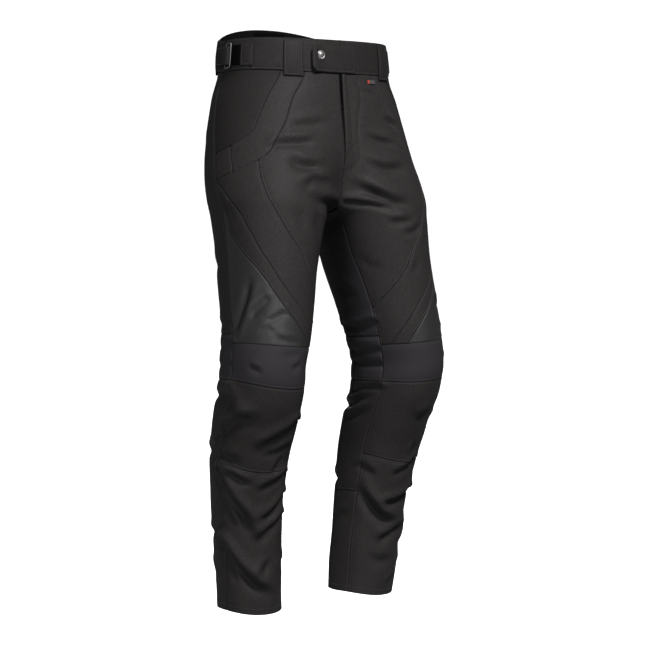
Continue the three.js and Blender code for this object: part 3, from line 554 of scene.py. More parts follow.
def fold_path(turn, z, radius, line):
    """Distance to a fold's line, which side of it and how far along, on the unrolled cloth."""
    best = np.full(turn.shape, 1e9)
    off, along = np.zeros(turn.shape), np.zeros(turn.shape)
    upward = 1 if line[-1][0] >= line[0][0] else -1
    middle_turn = (line[0][0] + line[-1][0]) / 2
    near_turn = turn - 360 * np.round((turn - middle_turn) / 360)
    mean_radius = 80.0
    lengths = [
        math.hypot(math.radians(b[0] - a[0]) * mean_radius, b[1] - a[1]) for a, b in zip(line, line[1:])
    ]
    total, passed = sum(lengths), 0.0
    for (turn_a, z_a), (turn_b, z_b), length in zip(line, line[1:], lengths):
        run_x, run_y = np.radians(turn_b - turn_a) * radius, z_b - z_a
        from_x, from_y = np.radians(near_turn - turn_a) * radius, z - z_a
        t = np.clip((from_x * run_x + from_y * run_y) / (run_x**2 + run_y**2), 0, 1)
        distance = np.hypot(from_x - t * run_x, from_y - t * run_y)
        cross = run_x * from_y - run_y * from_x
        nearer = distance < best
        best = np.where(nearer, distance, best)
        off = np.where(nearer, np.sign(cross) * upward * distance, off)
        along = np.where(nearer, (passed + t * length) / total, along)
        passed += length
    return off, along


def fold_height(side, turn, z):
    """How far the folds push the cloth out, plus, or in, minus."""
    _, _, outer, inner, deep, *_ = section_at(z)
    radius = (outer + inner + 2 * deep) / 4
    gain = FOLD_GAIN * (1 + LOWER_FOLD_GAIN * smoothstep((KNEE_FOOT - z) / LOWER_FOLD_CHANGE))
    height = np.zeros(turn.shape)
    for width, depth, ridge, kept, line in FOLDS[side]:
        levels, reach = [level for _, level in line], FOLD_REACH * width
        if z.max() < min(levels) - reach or z.min() > max(levels) + reach:
            continue
        off, along = fold_path(turn, z, radius, line)
        fade = np.ones(turn.shape)
        if "s" not in kept:
            fade *= smoothstep(along / FOLD_END)
        if "e" not in kept:
            fade *= smoothstep((1 - along) / FOLD_END)
        beside = off * np.sign(ridge)
        trough = np.exp(-((off / width) ** 2))
        crest = np.exp(-(((beside - RIDGE_PLACE * width) / (RIDGE_WIDTH * width)) ** 2))
        height += gain * depth * fade * (abs(ridge) * crest - trough)
    return height


def unevenness(points):
    """Slow small waves, the same for neighbouring panels."""
    x, y, z = points[..., 0], points[..., 1], points[..., 2]
    wave = np.sin(x / 23 + 1.3 * np.sin(z / 61)) * np.sin(z / 31 + y / 47)
    wave += 0.6 * np.sin(y / 19 - z / 43 + 0.7) * np.sin(x / 37 + z / 27)
    return (UNEVEN + UNEVEN_BELOW * smoothstep((KNEE_FOOT - z) / UNEVEN_CHANGE)) * wave


def pleat_height(turn, z):
    """The stretch panels puff out between the pleats' lines, unevenly round the leg."""
    height = np.zeros(turn.shape)
    for k, (level, width, depth) in enumerate(PLEATS):
        line = level + PLEAT_WAVE * np.sin(np.radians(2.3 * turn) + 2.1 * k)
        height -= depth * np.exp(-(((z - line) / width) ** 2))
    inside = smoothstep((z - KNEE_FOOT) / PLEAT_FADE) * smoothstep((BACK_KNEE_TOP - z) / PLEAT_FADE)
    return (height + PLEAT_LIFT) * inside


# Grids


def edge_places(total, count):
    """Distances along rows of those lengths: close lines at both ends and even ones between."""
    near = np.array(NEAR_EDGE)
    share = np.arange(len(near)) / (count - 1)
    start = np.minimum(near[None, :], total[:, None] * share[None, :])
    middle = count - 2 * len(near)
    between = np.arange(1, middle + 1) / (middle + 1)
    inner, outer = start[:, -1:], total[:, None] - start[:, -1:]
    return np.hstack([start, inner + (outer - inner) * between, total[:, None] - start[:, ::-1]])


def cloth_grid(side, lines):
    """Rows of points along lines on the cloth. A line gives turn and level for shares 0 to 1."""
    dense = (1 - np.cos(np.pi * np.linspace(0, 1, 161))) / 2
    ways = [line["way"](dense) for line in lines]
    runs = []
    for turn, z in ways:
        places = plain_point(side, turn, z)
        gaps = np.linalg.norm(np.diff(places, axis=0), axis=1)
        runs.append(np.concatenate([[0], np.cumsum(gaps)]))
    total = np.array([run[-1] - sum(line["insets"]) for run, line in zip(runs, lines)])
    total = np.maximum(total, 0.4)
    count = 2 * len(NEAR_EDGE) + max(0, round((total.max() - 2 * NEAR_EDGE[-1]) / STEP) - 1)
    places = edge_places(total, count)
    turns, levels = [], []
    for (turn, z), run, line, place in zip(ways, runs, lines, places):
        target = place + line["insets"][0]
        turns.append(np.interp(target, run, turn))
        levels.append(np.interp(target, run, z))
    slants = np.array([line["slants"] for line in lines])
    return {
        "side": side,
        "turn": np.array(turns),
        "z": np.array(levels),
        "run": places,
        "from_start": places / slants[:, :1],
        "from_end": (total[:, None] - places) / slants[:, 1:],
    }


def dress_grid(grid, top, foot, tips, stitched, height=None):
    """Adds the worn points, with their folds and seams, and the way out at each."""
    side, turn, z = grid["side"], grid["turn"], grid["z"]
    plain = plain_point(side, turn, z)
    normal = surface_normal(side, turn, z, plain)
    fade = np.clip(np.abs(plain[..., 0]) / CENTRE_FADE, 0, 1)
    out = fold_height(side, turn, z) * fade + unevenness(plain)
    if height is not None:
        out = out + height(grid)
    if "top" not in tips:
        grid["from_top"] = z[:1] - z
    if "foot" not in tips and foot != HEM:
        grid["from_foot"] = z - z[-1:]
    for edge in ALL_EDGES:
        distance = grid.get("from_" + edge)
        if distance is not None:
            out = out - EDGE_DEPTH * (1 - smoothstep(distance / EDGE_ROLL))
            if edge in stitched:
                out = out - STITCH_DIP * np.exp(-(((distance - TOPSTITCH) / STITCH_REACH) ** 2))
    points = plain + normal * out[..., None]
    beyond = np.clip(np.abs(plain[..., 0]) / PLANE_REACH, 0, 1)
    points[..., 0] = side * np.maximum(np.abs(points[..., 0]) * beyond, SEAM_GAP / 2)
    grid.update(plain=plain, points=points, normal=normal)
    return grid


def slant_of(side, turn_at, z):
    """How much longer a step along a row is than the same step square to the seam."""
    edge = plain_point(side, turn_at(z), z)
    row = unit(plain_point(side, turn_at(z) + 0.5, z) - plain_point(side, turn_at(z) - 0.5, z))
    run = plain_point(side, turn_at(z + 1), z + 1) - plain_point(side, turn_at(z - 1), z - 1)
    slant = np.where(np.abs(edge[..., 0]) < SEAM_GAP, 0, np.sum(run * row, -1) / 2)
    return np.hypot(1, slant)


def row_levels(top, foot, tips):
    """Levels of a panel's rows, close together at its seams."""
    first = top - (TIP if "top" in tips else LEVEL_GAP / 2)
    last = foot + (TIP if "foot" in tips else 0 if foot == HEM else LEVEL_GAP / 2)
    head = np.array(NEAR_TIP if "top" in tips else NEAR_EDGE)
    tail = np.array(NEAR_TIP if "foot" in tips else NEAR_EDGE)
    count = max(1, round((first - last - head[-1] - tail[-1]) / STEP))
    middle = np.linspace(first - head[-1], last + tail[-1], count + 1)[1:-1]
    return np.concatenate([first - head, middle, (last + tail)[::-1]])


def yoke_rise(z):
    """The back yoke's seam rises from the centre back to the outseam, and the levels near it."""
    far = np.where(z > YOKE_SEAM, WAIST_SEAM, YOKE_RISE_END)
    return YOKE_RISE * np.clip((z - far) / (YOKE_SEAM - far), 0, 1)


def panel_grid(side, panel):
    top, foot, tips = panel["top"], panel["foot"], panel.get("tips", ())
    levels = row_levels(top, foot, tips)
    rises = yoke_rise(levels) if panel.get("rises") else np.zeros(len(levels))

    def start_at(z):
        return bounding_turn(panel["from"], np.clip(z, foot, top + rises[0]), np.maximum, -1e9)

    def end_at(z):
        return bounding_turn(panel["to"], np.clip(z, foot, top + rises[0]), np.minimum, 1e9)

    slants = [slant_of(side, start_at, levels + rises), slant_of(side, end_at, levels)]
    lines = []
    for z, rise, slant in zip(levels, rises, np.stack(slants, -1)):

        def way(t, z=z, rise=rise):
            level = z + rise * (1 - t)
            start = start_at(level)
            return start + (end_at(level) - start) * t, level

        lines.append({"way": way, "insets": SEAM_GAP / 2 * slant, "slants": slant})
    grid = cloth_grid(side, lines)
    return dress_grid(grid, top, foot, tips, panel["stitched"], panel.get("height"))


def inner_thigh_grid(side):
    """The inner thigh panel, whose top edge follows the crotch along the centre plane."""
    fade_foot = -364
    start = float(centre_turn(INSEAM_TOP, False)) - 360
    end = float(centre_turn(INSEAM_TOP, True))
    lines = []
    for z in row_levels(INSEAM_TOP, BACK_KNEE_TOP, ()):
        z = min(z, INSEAM_TOP) if z > INSEAM_TOP - 0.3 else z
        share = np.clip((z - fade_foot) / (INSEAM_TOP - fade_foot), 0, 1) ** 2
        back, front = float(inseam_turn("backInseam", z)) - 360, float(inseam_turn("frontInseam", z))

        def way(t, z=z, share=share, back=back, front=front):
            drop = crotch_level(start + (end - start) * t) - INSEAM_TOP
            return back + (front - back) * t, z + drop * share

        lines.append({"way": way, "insets": (SEAM_GAP / 2,) * 2, "slants": (1.0, 1.0)})
    grid = cloth_grid(side, lines)
    return dress_grid(grid, INSEAM_TOP, BACK_KNEE_TOP, (), ())


def fly_groove(grid):
    """The right front panel turns in where it goes under the fly, most at the top."""
    if grid["side"] == LEFT:
        return 0
    z = grid["z"]
    share = 1 - smoothstep((FLY_GROOVE["from"] - z) / (FLY_GROOVE["from"] - FLY_GROOVE["to"]))
    near = 1 - smoothstep(grid["from_start"] / FLY_GROOVE["reach"])
    return -FLY_GROOVE["depth"] * share * near * (z > FLY_FOOT)


def knee_pleats(grid):
    return INNER_PLEATS * pleat_height(grid["turn"], grid["z"])


def back_pleats(grid):
    """The same pleats, flatter at the back of the knee."""
    return BACK_PLEATS * pleat_height(grid["turn"], grid["z"])


FRONT = {"from": ["frontInseam"], "to": ["outseam"]}
INNER = {"from": ["innerBack"], "to": ["frontInseam"]}
BACK = {"from": ["outseam"], "to": ["centreBack", "backInseam"]}

# Panels: their levels and seams, their cloth, and the edges with topstitching
PANELS = {
    "front_panel": {
        "top": WAIST_SEAM, "foot": FRONT_PANEL_TIP, "from": ["centreFront", "frontInseam"],
        "to": ["frontSeam", "thighSeam"], "tips": ("foot",), "height": fly_groove,
        "stitched": ("end",),
    },
    "hip_band": {
        "top": WAIST_SEAM, "foot": BAND_END_FOOT, "from": ["frontSeam"],
        "to": ["hipSeam", "bandEndSeam"], "tips": ("foot",), "stitched": ("start",),
    },
    "hip_band_end": {
        "top": BAND_END_TOP, "foot": DIAGONAL_TOP, "from": ["bandEndSeam", "frontSeam"],
        "to": ["hipSeam", "outseam"], "tips": ("top", "foot"), "stitched": (),
    },
    "side_hip_panel": {
        "top": WAIST_SEAM, "foot": HIP_SEAM_END, "from": ["hipSeam"], "to": ["outseam"],
        "tips": ("foot",), "stitched": (),
    },
    "thigh_panel": {
        "top": THIGH_TOP, "foot": KNEE_TOP, "from": ["thighSeam", "frontInseam"],
        "to": ["frontSeam", "bandUpper", "outseam"], "tips": ("top",), "stitched": ("start",),
    },
    "diagonal_band": {
        "top": DIAGONAL_TOP, "foot": KNEE_TOP, "from": ["bandUpper"],
        "to": ["bandLower", "outseam"], "tips": ("top",), "stitched": ("start", "end"),
    },
    "side_panel": {
        "top": INSEAM_TOP, "foot": KNEE_TOP, "from": ["bandLower"], "to": ["outseam"],
        "tips": ("top",), "cloth": "side_cloth", "stitched": (),
    },
    "knee_band": {
        "top": KNEE_TOP, "foot": KNEE_FOOT, "cloth": "stretch_cloth", "stitched": ("top", "foot"),
        **FRONT,
    },
    "shin_panel": {"top": KNEE_FOOT, "foot": SHIN_SEAM, "stitched": ("foot", "start"), **FRONT},
    "lower_front": {"top": SHIN_SEAM, "foot": HEM, "stitched": ("top", "start", "foot"), **FRONT},
    "inner_knee": {
        "top": BACK_KNEE_TOP, "foot": KNEE_FOOT, "cloth": "stretch_cloth", "height": knee_pleats,
        "stitched": ("top", "foot"), **INNER,
    },
    "inner_calf": {"top": KNEE_FOOT, "foot": CALF_SEAM, "stitched": ("foot",), **INNER},
    "inner_hem": {"top": CALF_SEAM, "foot": HEM, "stitched": ("foot",), **INNER},
    "back_yoke": {
        "top": WAIST_SEAM, "foot": YOKE_SEAM, "rises": True, "stitched": ("foot",), **BACK,
    },
    "back_panel": {
        "top": YOKE_SEAM, "foot": BACK_KNEE_TOP, "rises": True, "stitched": ("start", "end"),
        **BACK,
    },
    "back_knee": {
        "top": BACK_KNEE_TOP, "foot": KNEE_FOOT, "cloth": "stretch_cloth", "height": back_pleats,
        "stitched": ("top", "foot"), **BACK,
    },
    "back_calf": {"top": KNEE_FOOT, "foot": HEM, "stitched": ("start", "foot"), **BACK},
}

# Meshes


def make_object(name, points, faces, flat_from, materials, inner_from=None, uv=None):
    """A mesh from points in millimetres. Faces from flat_from on are its edges and stay flat."""
    mesh = bpy.data.meshes.new(LOOK + name)
    mesh.from_pydata((np.asarray(points) * MM).tolist(), [], faces)
    smooth = np.ones(len(faces), bool)
    smooth[flat_from:] = False
    mesh.polygons.foreach_set("use_smooth", smooth)
    for material in materials:
        mesh.materials.append(material)
    if inner_from is not None:
        index = np.zeros(len(faces), np.int32)
        index[inner_from:flat_from] = 1
        mesh.polygons.foreach_set("material_index", index)
    if uv is not None:
        corners = np.zeros(len(mesh.loops), np.int32)
        mesh.loops.foreach_get("vertex_index", corners)
        layer = mesh.uv_layers.new(name="cloth")
        layer.data.foreach_set("uv", (np.asarray(uv)[corners] * MM).astype(np.float32).ravel())
    mesh.update()
    made = bpy.data.objects.new(LOOK + name, mesh)
    bpy.context.scene.collection.objects.link(made)
    return made


def wall(name, outer, inner, materials, run):
    """A closed wall between two grids of points, with the outer one facing out."""
    rows, columns = outer.shape[:2]
    count = rows * columns
    at = np.arange(count).reshape(rows, columns)
    front = np.stack([at[:-1, :-1], at[1:, :-1], at[1:, 1:], at[:-1, 1:]], -1).reshape(-1, 4)
    back = front[:, ::-1] + count
    loop = np.concatenate([at[0, :-1], at[:-1, -1], at[-1, :0:-1], at[:0:-1, 0]])
    after = np.roll(loop, -1)
    rim = np.stack([loop, after, after + count, loop + count], -1)
    faces = np.vstack([front, back, rim])
    j, i = rows // 2, columns // 2
    facing = np.cross(outer[j, i] - outer[j - 1, i], outer[j, i] - outer[j, i - 1])
    if np.dot(facing, outer[j, i] - inner[j, i]) < 0:
        faces = faces[:, ::-1]
    points = np.vstack([outer.reshape(-1, 3), inner.reshape(-1, 3)])
    uv = np.vstack([run.reshape(-1, 2)] * 2)
    return make_object(
        name, points, faces.tolist(), len(front) + len(back), materials, len(front), uv
    )


def stitch_places(points, normals):
    """Where each stitch of a row begins and ends, with the way out there."""
    length = np.concatenate([[0], np.cumsum(np.linalg.norm(np.diff(points, axis=0), axis=1))])
    pitch = STITCH["long"] + STITCH["gap"]
    begins = np.arange(pitch / 2, length[-1] - pitch, pitch)
    stations = begins[:, None] + STITCH["long"] * np.array(STATIONS)
    centre = np.stack([np.interp(stations, length, points[:, k]) for k in range(3)], -1)
    out = np.stack([np.interp(stations, length, normals[:, k]) for k in range(3)], -1)
    return centre, unit(out)


def sew(name, rows, material):
    """One mesh of all the stitches of these rows of points and ways out."""
    found = [stitch_places(points, normals) for points, normals in rows]
    centre = np.concatenate([c for c, _ in found])
    out = np.concatenate([n for _, n in found])
    along = unit(centre[:, 4] - centre[:, 0])[:, None, :]
    beside = unit(np.cross(along, out))
    radius = STITCH["radius"]
    middle = centre + out * np.array(RISES)[None, :, None] * radius
    ends = middle[:, [0, 4]]
    body = middle[:, 1:4]
    up, wide = out[:, 1:4] * radius, beside[:, 1:4] * radius
    rings = np.stack([body + up, body + wide, body - up, body - wide], 2)
    points = np.concatenate([rings.reshape(len(centre), 12, 3), ends], 1)
    faces = []
    for k in range(4):
        n = (k + 1) % 4
        faces += [(12, n, k), (k, n, 4 + n, 4 + k), (4 + k, 4 + n, 8 + n, 8 + k), (8 + k, 8 + n, 13)]
    offsets = 14 * np.arange(len(centre))
    every = [tuple(c + o for c in face) for o in offsets for face in faces]
    return make_object(name, points.reshape(-1, 3), every, len(every), [material])


def grid_line(grid, edge):
    """The row of points at the topstitching's distance from one edge of a dressed grid."""
    near = NEAR_EDGE.index(TOPSTITCH)
    far = -1 - near
    pick = {"start": (slice(None), near), "end": (slice(None), far), "top": near, "foot": far}[edge]
    return grid["points"][pick], grid["normal"][pick]


# Materials


def shader(name, colour, roughness, metallic=0.0, specular=0.5):
    material = bpy.data.materials.new(name)
    material.use_nodes = True
    made = material.node_tree.nodes["Principled BSDF"]
    made.inputs["Base Color"].default_value = (*colour, 1)
    made.inputs["Roughness"].default_value = roughness
    made.inputs["Metallic"].default_value = metallic
    made.inputs["Specular IOR Level"].default_value = specular
    return material, material.node_tree, made


def noise(tree, scale, detail):
    place = tree.nodes.new("ShaderNodeTexCoord")
    texture = tree.nodes.new("ShaderNodeTexNoise")
    texture.inputs["Scale"].default_value = scale
    texture.inputs["Detail"].default_value = detail
    tree.links.new(place.outputs["Object"], texture.inputs["Vector"])
    return texture.outputs["Fac"]


def ribs(tree, scale, turn):
    """Fine ribs along the cloth, turned from its level lines by that angle."""
    place = tree.nodes.new("ShaderNodeTexCoord")
    mapping = tree.nodes.new("ShaderNodeMapping")
    mapping.inputs["Rotation"].default_value = (0, 0, math.radians(turn))
    wave = tree.nodes.new("ShaderNodeTexWave")
    wave.inputs["Scale"].default_value = scale
    wave.inputs["Distortion"].default_value = 0.6
    tree.links.new(place.outputs["UV"], mapping.inputs["Vector"])
    tree.links.new(mapping.outputs["Vector"], wave.inputs["Vector"])
    return wave.outputs["Fac"]


def bump(tree, made, height, distance, strength, before=None):
    node = tree.nodes.new("ShaderNodeBump")
    node.inputs["Distance"].default_value = distance
    node.inputs["Strength"].default_value = strength
    tree.links.new(height, node.inputs["Height"])
    if before is not None:
        tree.links.new(before, node.inputs["Normal"])
    tree.links.new(node.outputs["Normal"], made.inputs["Normal"])
    return node.outputs["Normal"]


def mottle(tree, made, fac, dark, light):
    ramp = tree.nodes.new("ShaderNodeValToRGB")
    ramp.color_ramp.elements[0].position = 0.3
    ramp.color_ramp.elements[1].position = 0.7
    ramp.color_ramp.elements[0].color = (*dark, 1)
    ramp.color_ramp.elements[1].color = (*light, 1)
    tree.links.new(fac, ramp.inputs["Fac"])
    tree.links.new(ramp.outputs["Color"], made.inputs["Base Color"])


def math_node(tree, operation, first, second):
    """A math node's output. Each of its inputs is a number or another node's output."""
    node = tree.nodes.new("ShaderNodeMath")
    node.operation = operation
    for socket, value in zip(node.inputs, (first, second)):
        if isinstance(value, float):
            socket.default_value = value
        else:
            tree.links.new(value, socket)
    return node.outputs[0]


def satin(tree, made, level):
    """A soft gloss that fades where the cloth turns away."""
    weight = tree.nodes.new("ShaderNodeLayerWeight")
    turned = math_node(tree, "SUBTRACT", 1.0, weight.outputs["Facing"])
    gloss = math_node(tree, "MULTIPLY", math_node(tree, "POWER", turned, 2.0), level)
    tree.links.new(gloss, made.inputs["Specular IOR Level"])


def make_softshell(name="softshell", tone=1.0):
    material, tree, made = shader(name, (0.03,) * 3, 0.58, specular=0.0)
    satin(tree, made, 0.035)
    dark = tuple(tone * c for c in (0.0060, 0.0056, 0.0055))
    light = tuple(tone * c for c in (0.0108, 0.0101, 0.0099))
    mottle(tree, made, noise(tree, 420, 3), dark, light)
    bump(tree, made, noise(tree, 700, 2), 0.0003, 0.5)
    return material


def make_stretch():
    material, tree, made = shader("stretch", (0.02, 0.0182, 0.0212), 0.66, specular=0.0)
    satin(tree, made, 0.03)
    mottle(tree, made, noise(tree, 1100, 2), (0.0092, 0.0085, 0.0095), (0.0124, 0.0115, 0.0127))
    bump(tree, made, ribs(tree, 180, 90), 0.0003, 0.4)
    return material


def make_side_cloth():
    material, tree, made = shader("side", (0.02,) * 3, 0.5, specular=0.0)
    satin(tree, made, 0.11)
    mottle(tree, made, noise(tree, 500, 3), (0.0052, 0.0050, 0.0050), (0.0088, 0.0085, 0.0084))
    grain = bump(tree, made, noise(tree, 560, 3), 0.0009, 0.8)
    bump(tree, made, ribs(tree, 110, 38), 0.0004, 0.5, grain)
    return material


def make_webbing():
    material, tree, made = shader("webbing", (0.0012,) * 3, 0.8, specular=0.0)
    bump(tree, made, ribs(tree, 150, 0), 0.0005, 0.8)
    return material


SOFTSHELL = make_softshell()
# A darker copy of the softshell: the darker tone of the waistband and its trims, and painted shade on
# the side hip panel, which faces away from the key light.
BAND_AND_SHADE_SOFTSHELL = make_softshell("softshell_band", 0.78)
STRETCH = make_stretch()
SIDE_CLOTH = make_side_cloth()
WEBBING = make_webbing()
# Inner faces of all cloth pieces: near black, partly the inside's own dark cloth and partly painted
# shade inside the trousers.
LINING_AND_SHADE = shader("lining", (0.0022, 0.0021, 0.0021), 0.8, specular=0.0)[0]
THREAD = shader("thread", (0.020, 0.019, 0.019), 0.6, specular=0.1)[0]
GUNMETAL = shader("gunmetal", (0.05, 0.05, 0.052), 0.42, metallic=1.0)[0]
SNAP_METAL = shader("snap_metal", (0.075, 0.074, 0.073), 0.4, metallic=1.0)[0]
TAB_GREY = shader("tab_grey", (0.02, 0.0188, 0.0188), 0.7, specular=0.1)[0]
TAB_RED = shader("tab_red", (0.10, 0.012, 0.008), 0.7, specular=0.1)[0]

CLOTHS = {"softshell": SOFTSHELL, "stretch_cloth": STRETCH, "side_cloth": SIDE_CLOTH}
TRIM_SIDES = (BAND_AND_SHADE_SOFTSHELL, LINING_AND_SHADE)
WEBBING_SIDES = (WEBBING, WEBBING)

# Panels

# A sheet's least side in metres
LEAST_SIDE = 0.01


def declare(piece, stands_for_node=True):
    """The piece rides on the part and stands for its CAD node."""
    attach(piece, "root")
    if stands_for_node:
        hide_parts(piece.name.removeprefix(LOOK))


def declare_sheet(plain):
    """Works out the flat cut of a cloth piece on the form without its folds; nothing uses the result.
    """
    across = np.linalg.norm(np.diff(plain, axis=1), axis=-1)
    down = np.linalg.norm(np.diff(plain, axis=0), axis=-1)
    width, length = across.sum(1).max() * MM, down.sum(0).max() * MM
    width, length = max(width, LEAST_SIDE), max(length, LEAST_SIDE)


def make_panels():
    grids = {}
    for side, word in SIDES:
        made = {name: panel_grid(side, panel) for name, panel in PANELS.items()}
        made["inner_thigh"] = inner_thigh_grid(side)
        for name, grid in made.items():
            grids[name, side] = grid
            slot = "stretch_cloth" if name == "inner_thigh" else PANELS[name].get("cloth", "softshell")
            # The side hip panel takes the darker softshell as painted shade, since it faces away from
            # the key light.
            cloth = BAND_AND_SHADE_SOFTSHELL if name == "side_hip_panel" else CLOTHS[slot]
            inner = grid["points"] - grid["normal"] * CLOTH
            run = np.stack([grid["run"], grid["z"]], -1)
            piece = wall(f"{name}_{word}", grid["points"], inner, (cloth, LINING_AND_SHADE), run)
            declare(piece)
            declare_sheet(grid["plain"])
    return grids


def panel_stitches(grids):
    for side, word in SIDES:
        rows = []
        for name, panel in PANELS.items():
            for edge in panel["stitched"]:
                if edge == "foot" and panel["foot"] == HEM:
                    continue
                rows.append(grid_line(grids[name, side], edge))
        for name in ("lower_front", "inner_hem", "back_calf"):
            grid = grids[name, side]
            row = int(np.argmin(np.abs(grid["z"][:, 0] - (HEM + HEM_STITCH))))
            rows.append((grid["points"][row], grid["normal"][row]))
        if side == LEFT:
            rows += fly_stitches()
        piece = sew(f"panel_stitching_{word}", rows, THREAD)
        declare(piece, stands_for_node=False)


def fly_stitches():
    """Two rows of stitches along the fly's J seam, on the worn cloth."""
    table = np.array(FLY_SEAM, float)
    share = np.linspace(0, len(table) - 1, 12 * len(table))
    turn, z = (np.interp(share, np.arange(len(table)), column) for column in table.T)
    plain = plain_point(LEFT, turn, z)
    normal = surface_normal(LEFT, turn, z, plain)
    points = plain + normal * (fold_height(LEFT, turn, z) + unevenness(plain))[:, None]
    beside = np.cross(normal, unit(np.gradient(points, axis=0)))
    return [(points, normal), (points + FLY_STITCH_GAP * beside, normal)]


def make_fly(grids):
    """The flap over the hidden zip: a strip of the left front panel's own points, moved out."""
    grid = grids["front_panel", LEFT]
    rows = grid["z"][:, 0] > FLY_FOOT
    strip = slice(0, FLY_COLUMNS)
    points, normal = grid["points"][rows, strip], grid["normal"][rows, strip]
    run = grid["run"][rows, strip]
    share = run / run[:, -1:]
    down = (grid["z"][rows, strip] - FLY_FOOT) / FLY_FADE
    edge = EDGE_DEPTH * (1 - smoothstep(grid["from_start"][rows, strip] / EDGE_ROLL))
    crown = FLY_CROWN * (1 - smoothstep((share - FLY_FLAT) / (1 - FLY_FLAT))) * smoothstep(down)
    crown = crown - FLY_EDGE * (1 - smoothstep(run / FLY_EDGE_ROLL)) + edge
    crown = crown - FLY_TOE * (1 - smoothstep(3 * down))
    crown = crown - FLY_SINK * smoothstep((share - FLY_TUCK) / (1 - FLY_TUCK))
    outer = points + normal * crown[..., None]
    inner = points - normal * TRIM_CLOTH
    place = np.stack([run, grid["z"][rows, strip]], -1)
    piece = wall("fly_flap", outer, inner, (SOFTSHELL, SOFTSHELL), place)
    declare(piece)
    declare_sheet(grid["plain"][rows, strip])


# Waist


def waist_run(z):
    start, end = float(centre_turn(z, True)), float(centre_turn(z, False))
    turns = start + (end - start) * (1 - np.cos(np.pi * np.linspace(0, 1, 181))) / 2
    points = plain_point(LEFT, turns, z)
    return turns, np.concatenate([[0], np.cumsum(np.linalg.norm(np.diff(points, axis=0), axis=1))])


HALF_GIRTH = waist_run(WAIST_SEAM)[1][-1]


def waist_points(u, z):
    """Points and ways out of a grid on the waist. u has a row for each level in z."""
    wrapped = np.where(u > HALF_GIRTH, u - 2 * HALF_GIRTH, u)
    side = np.where(wrapped < 0, RIGHT, LEFT)
    turn = np.empty_like(wrapped)
    for j, level in enumerate(z):
        turns, run = waist_run(level)
        turn[j] = np.interp(np.abs(wrapped[j]) * run[-1] / HALF_GIRTH, run, turns)
    levels = np.broadcast_to(np.asarray(z, float)[:, None], turn.shape)
    points = plain_point(side, turn, levels)
    return points, surface_normal(side, turn, levels, points)


def waist_seat(u, z):
    """One place on the waist: its point, the way out and the way up."""
    places = np.full((3, 3), float(u)) + [-1, 0, 1]
    points, normals = waist_points(places, np.array([z + 4, z, z - 4]))
    return points[1, 1], normals[1, 1], unit(points[0, 1] - points[2, 1])


def trim_steps(length, step):
    """Distances over a length, close together at its ends."""
    near = np.array(TRIM_NEAR)
    count = max(1, round((length - 2 * near[-1]) / step))
    middle = np.linspace(near[-1], length - near[-1], count + 1)[1:-1]
    return np.concatenate([near, middle, length - near[::-1]])


def strip_grid(start, end, top, foot, step, corner=0.0):
    """A strip along the waist, with that radius at the corners of its start."""
    drop = trim_steps(top - foot, step)
    z = top - drop
    reach = np.minimum(drop, top - foot - drop)
    within = np.clip(corner - reach, 0, corner)
    starts = start + (corner - np.sqrt(np.maximum(corner**2 - within**2, 0)))
    share = trim_steps(end - start, step) / (end - start)
    u = starts[:, None] + (end - starts)[:, None] * share
    points, normal = waist_points(u, z)
    edge = np.minimum(np.minimum(u - starts[:, None], end - u), reach[:, None])
    return {"u": u, "z": z, "points": points, "normal": normal, "edge": edge}


def lay_strip(name, strip, lift, thickness, sides, puff, dip=True):
    """A wall laid on the waist with soft edges and a line of stitches sunk along them."""
    soft = SOFT_SHARE * thickness * (1 - smoothstep(strip["edge"] / SOFT_EDGE))
    crown = puff * smoothstep(strip["edge"] / CROWN_REACH)
    if dip:
        crown = crown - TRIM_DIP * np.exp(-(((strip["edge"] - TRIM_STITCH) / TRIM_DIP_REACH) ** 2))
    inner = strip["points"] + strip["normal"] * np.broadcast_to(lift, strip["edge"].shape)[..., None]
    strip["outer"] = inner + strip["normal"] * (thickness + crown - soft)[..., None]
    place = np.stack([strip["u"], np.broadcast_to(strip["z"][:, None], strip["u"].shape)], -1)
    piece = wall(name, strip["outer"], inner, sides, place)
    declare(piece)
    declare_sheet(strip["points"])
    return piece


def strip_lines(strip, edges=ALL_EDGES):
    """The rows of points along those edges of a strip, at the distance of its stitches."""
    near = TRIM_NEAR.index(TRIM_STITCH)
    far, along = -1 - near, slice(near, -near)
    picks = {"start": (along, near), "end": (along, far), "top": (near, along), "foot": (far, along)}
    return [(strip["outer"][picks[edge]], strip["normal"][picks[edge]]) for edge in edges]


def make_waistband():
    spans = {
        "waistband_front_right": (-SIDE_SEAM_U, -SEAM_GAP / 2),
        "waistband_front_left": (SEAM_GAP / 2, SIDE_SEAM_U),
        "waistband_back": (SIDE_SEAM_U + SEAM_GAP, 2 * HALF_GIRTH - SIDE_SEAM_U - SEAM_GAP),
    }
    rows = []
    for name, (start, end) in spans.items():
        strip = strip_grid(start, end, WAIST_TOP, WAIST_SEAM + LEVEL_GAP / 2, BAND_STEP)
        wave = 0.5 * np.sin(strip["u"] / 17) * np.sin(strip["u"] / 41 + 1) + 0.6
        lay_strip(name, strip, wave - BAND_CLOTH, BAND_CLOTH, TRIM_SIDES, 0.8)
        rows += strip_lines(strip, ("top", "foot"))
    return rows


def tab_lift(u):
    """How far the closing tab stands off the waistband, most at its round tip."""
    return TAB_GAP + TAB_LIFT * (1 - smoothstep((u - TAB["from"]) / TAB_TIP))


def make_tab():
    strip = strip_grid(TAB["from"], TAB["to"], TAB["top"], TAB["foot"], TRIM_STEP, TAB["corner"])
    lay_strip("front_tab", strip, tab_lift(strip["u"]), CLOTH, TRIM_SIDES, 0.7)
    return strip_lines(strip)


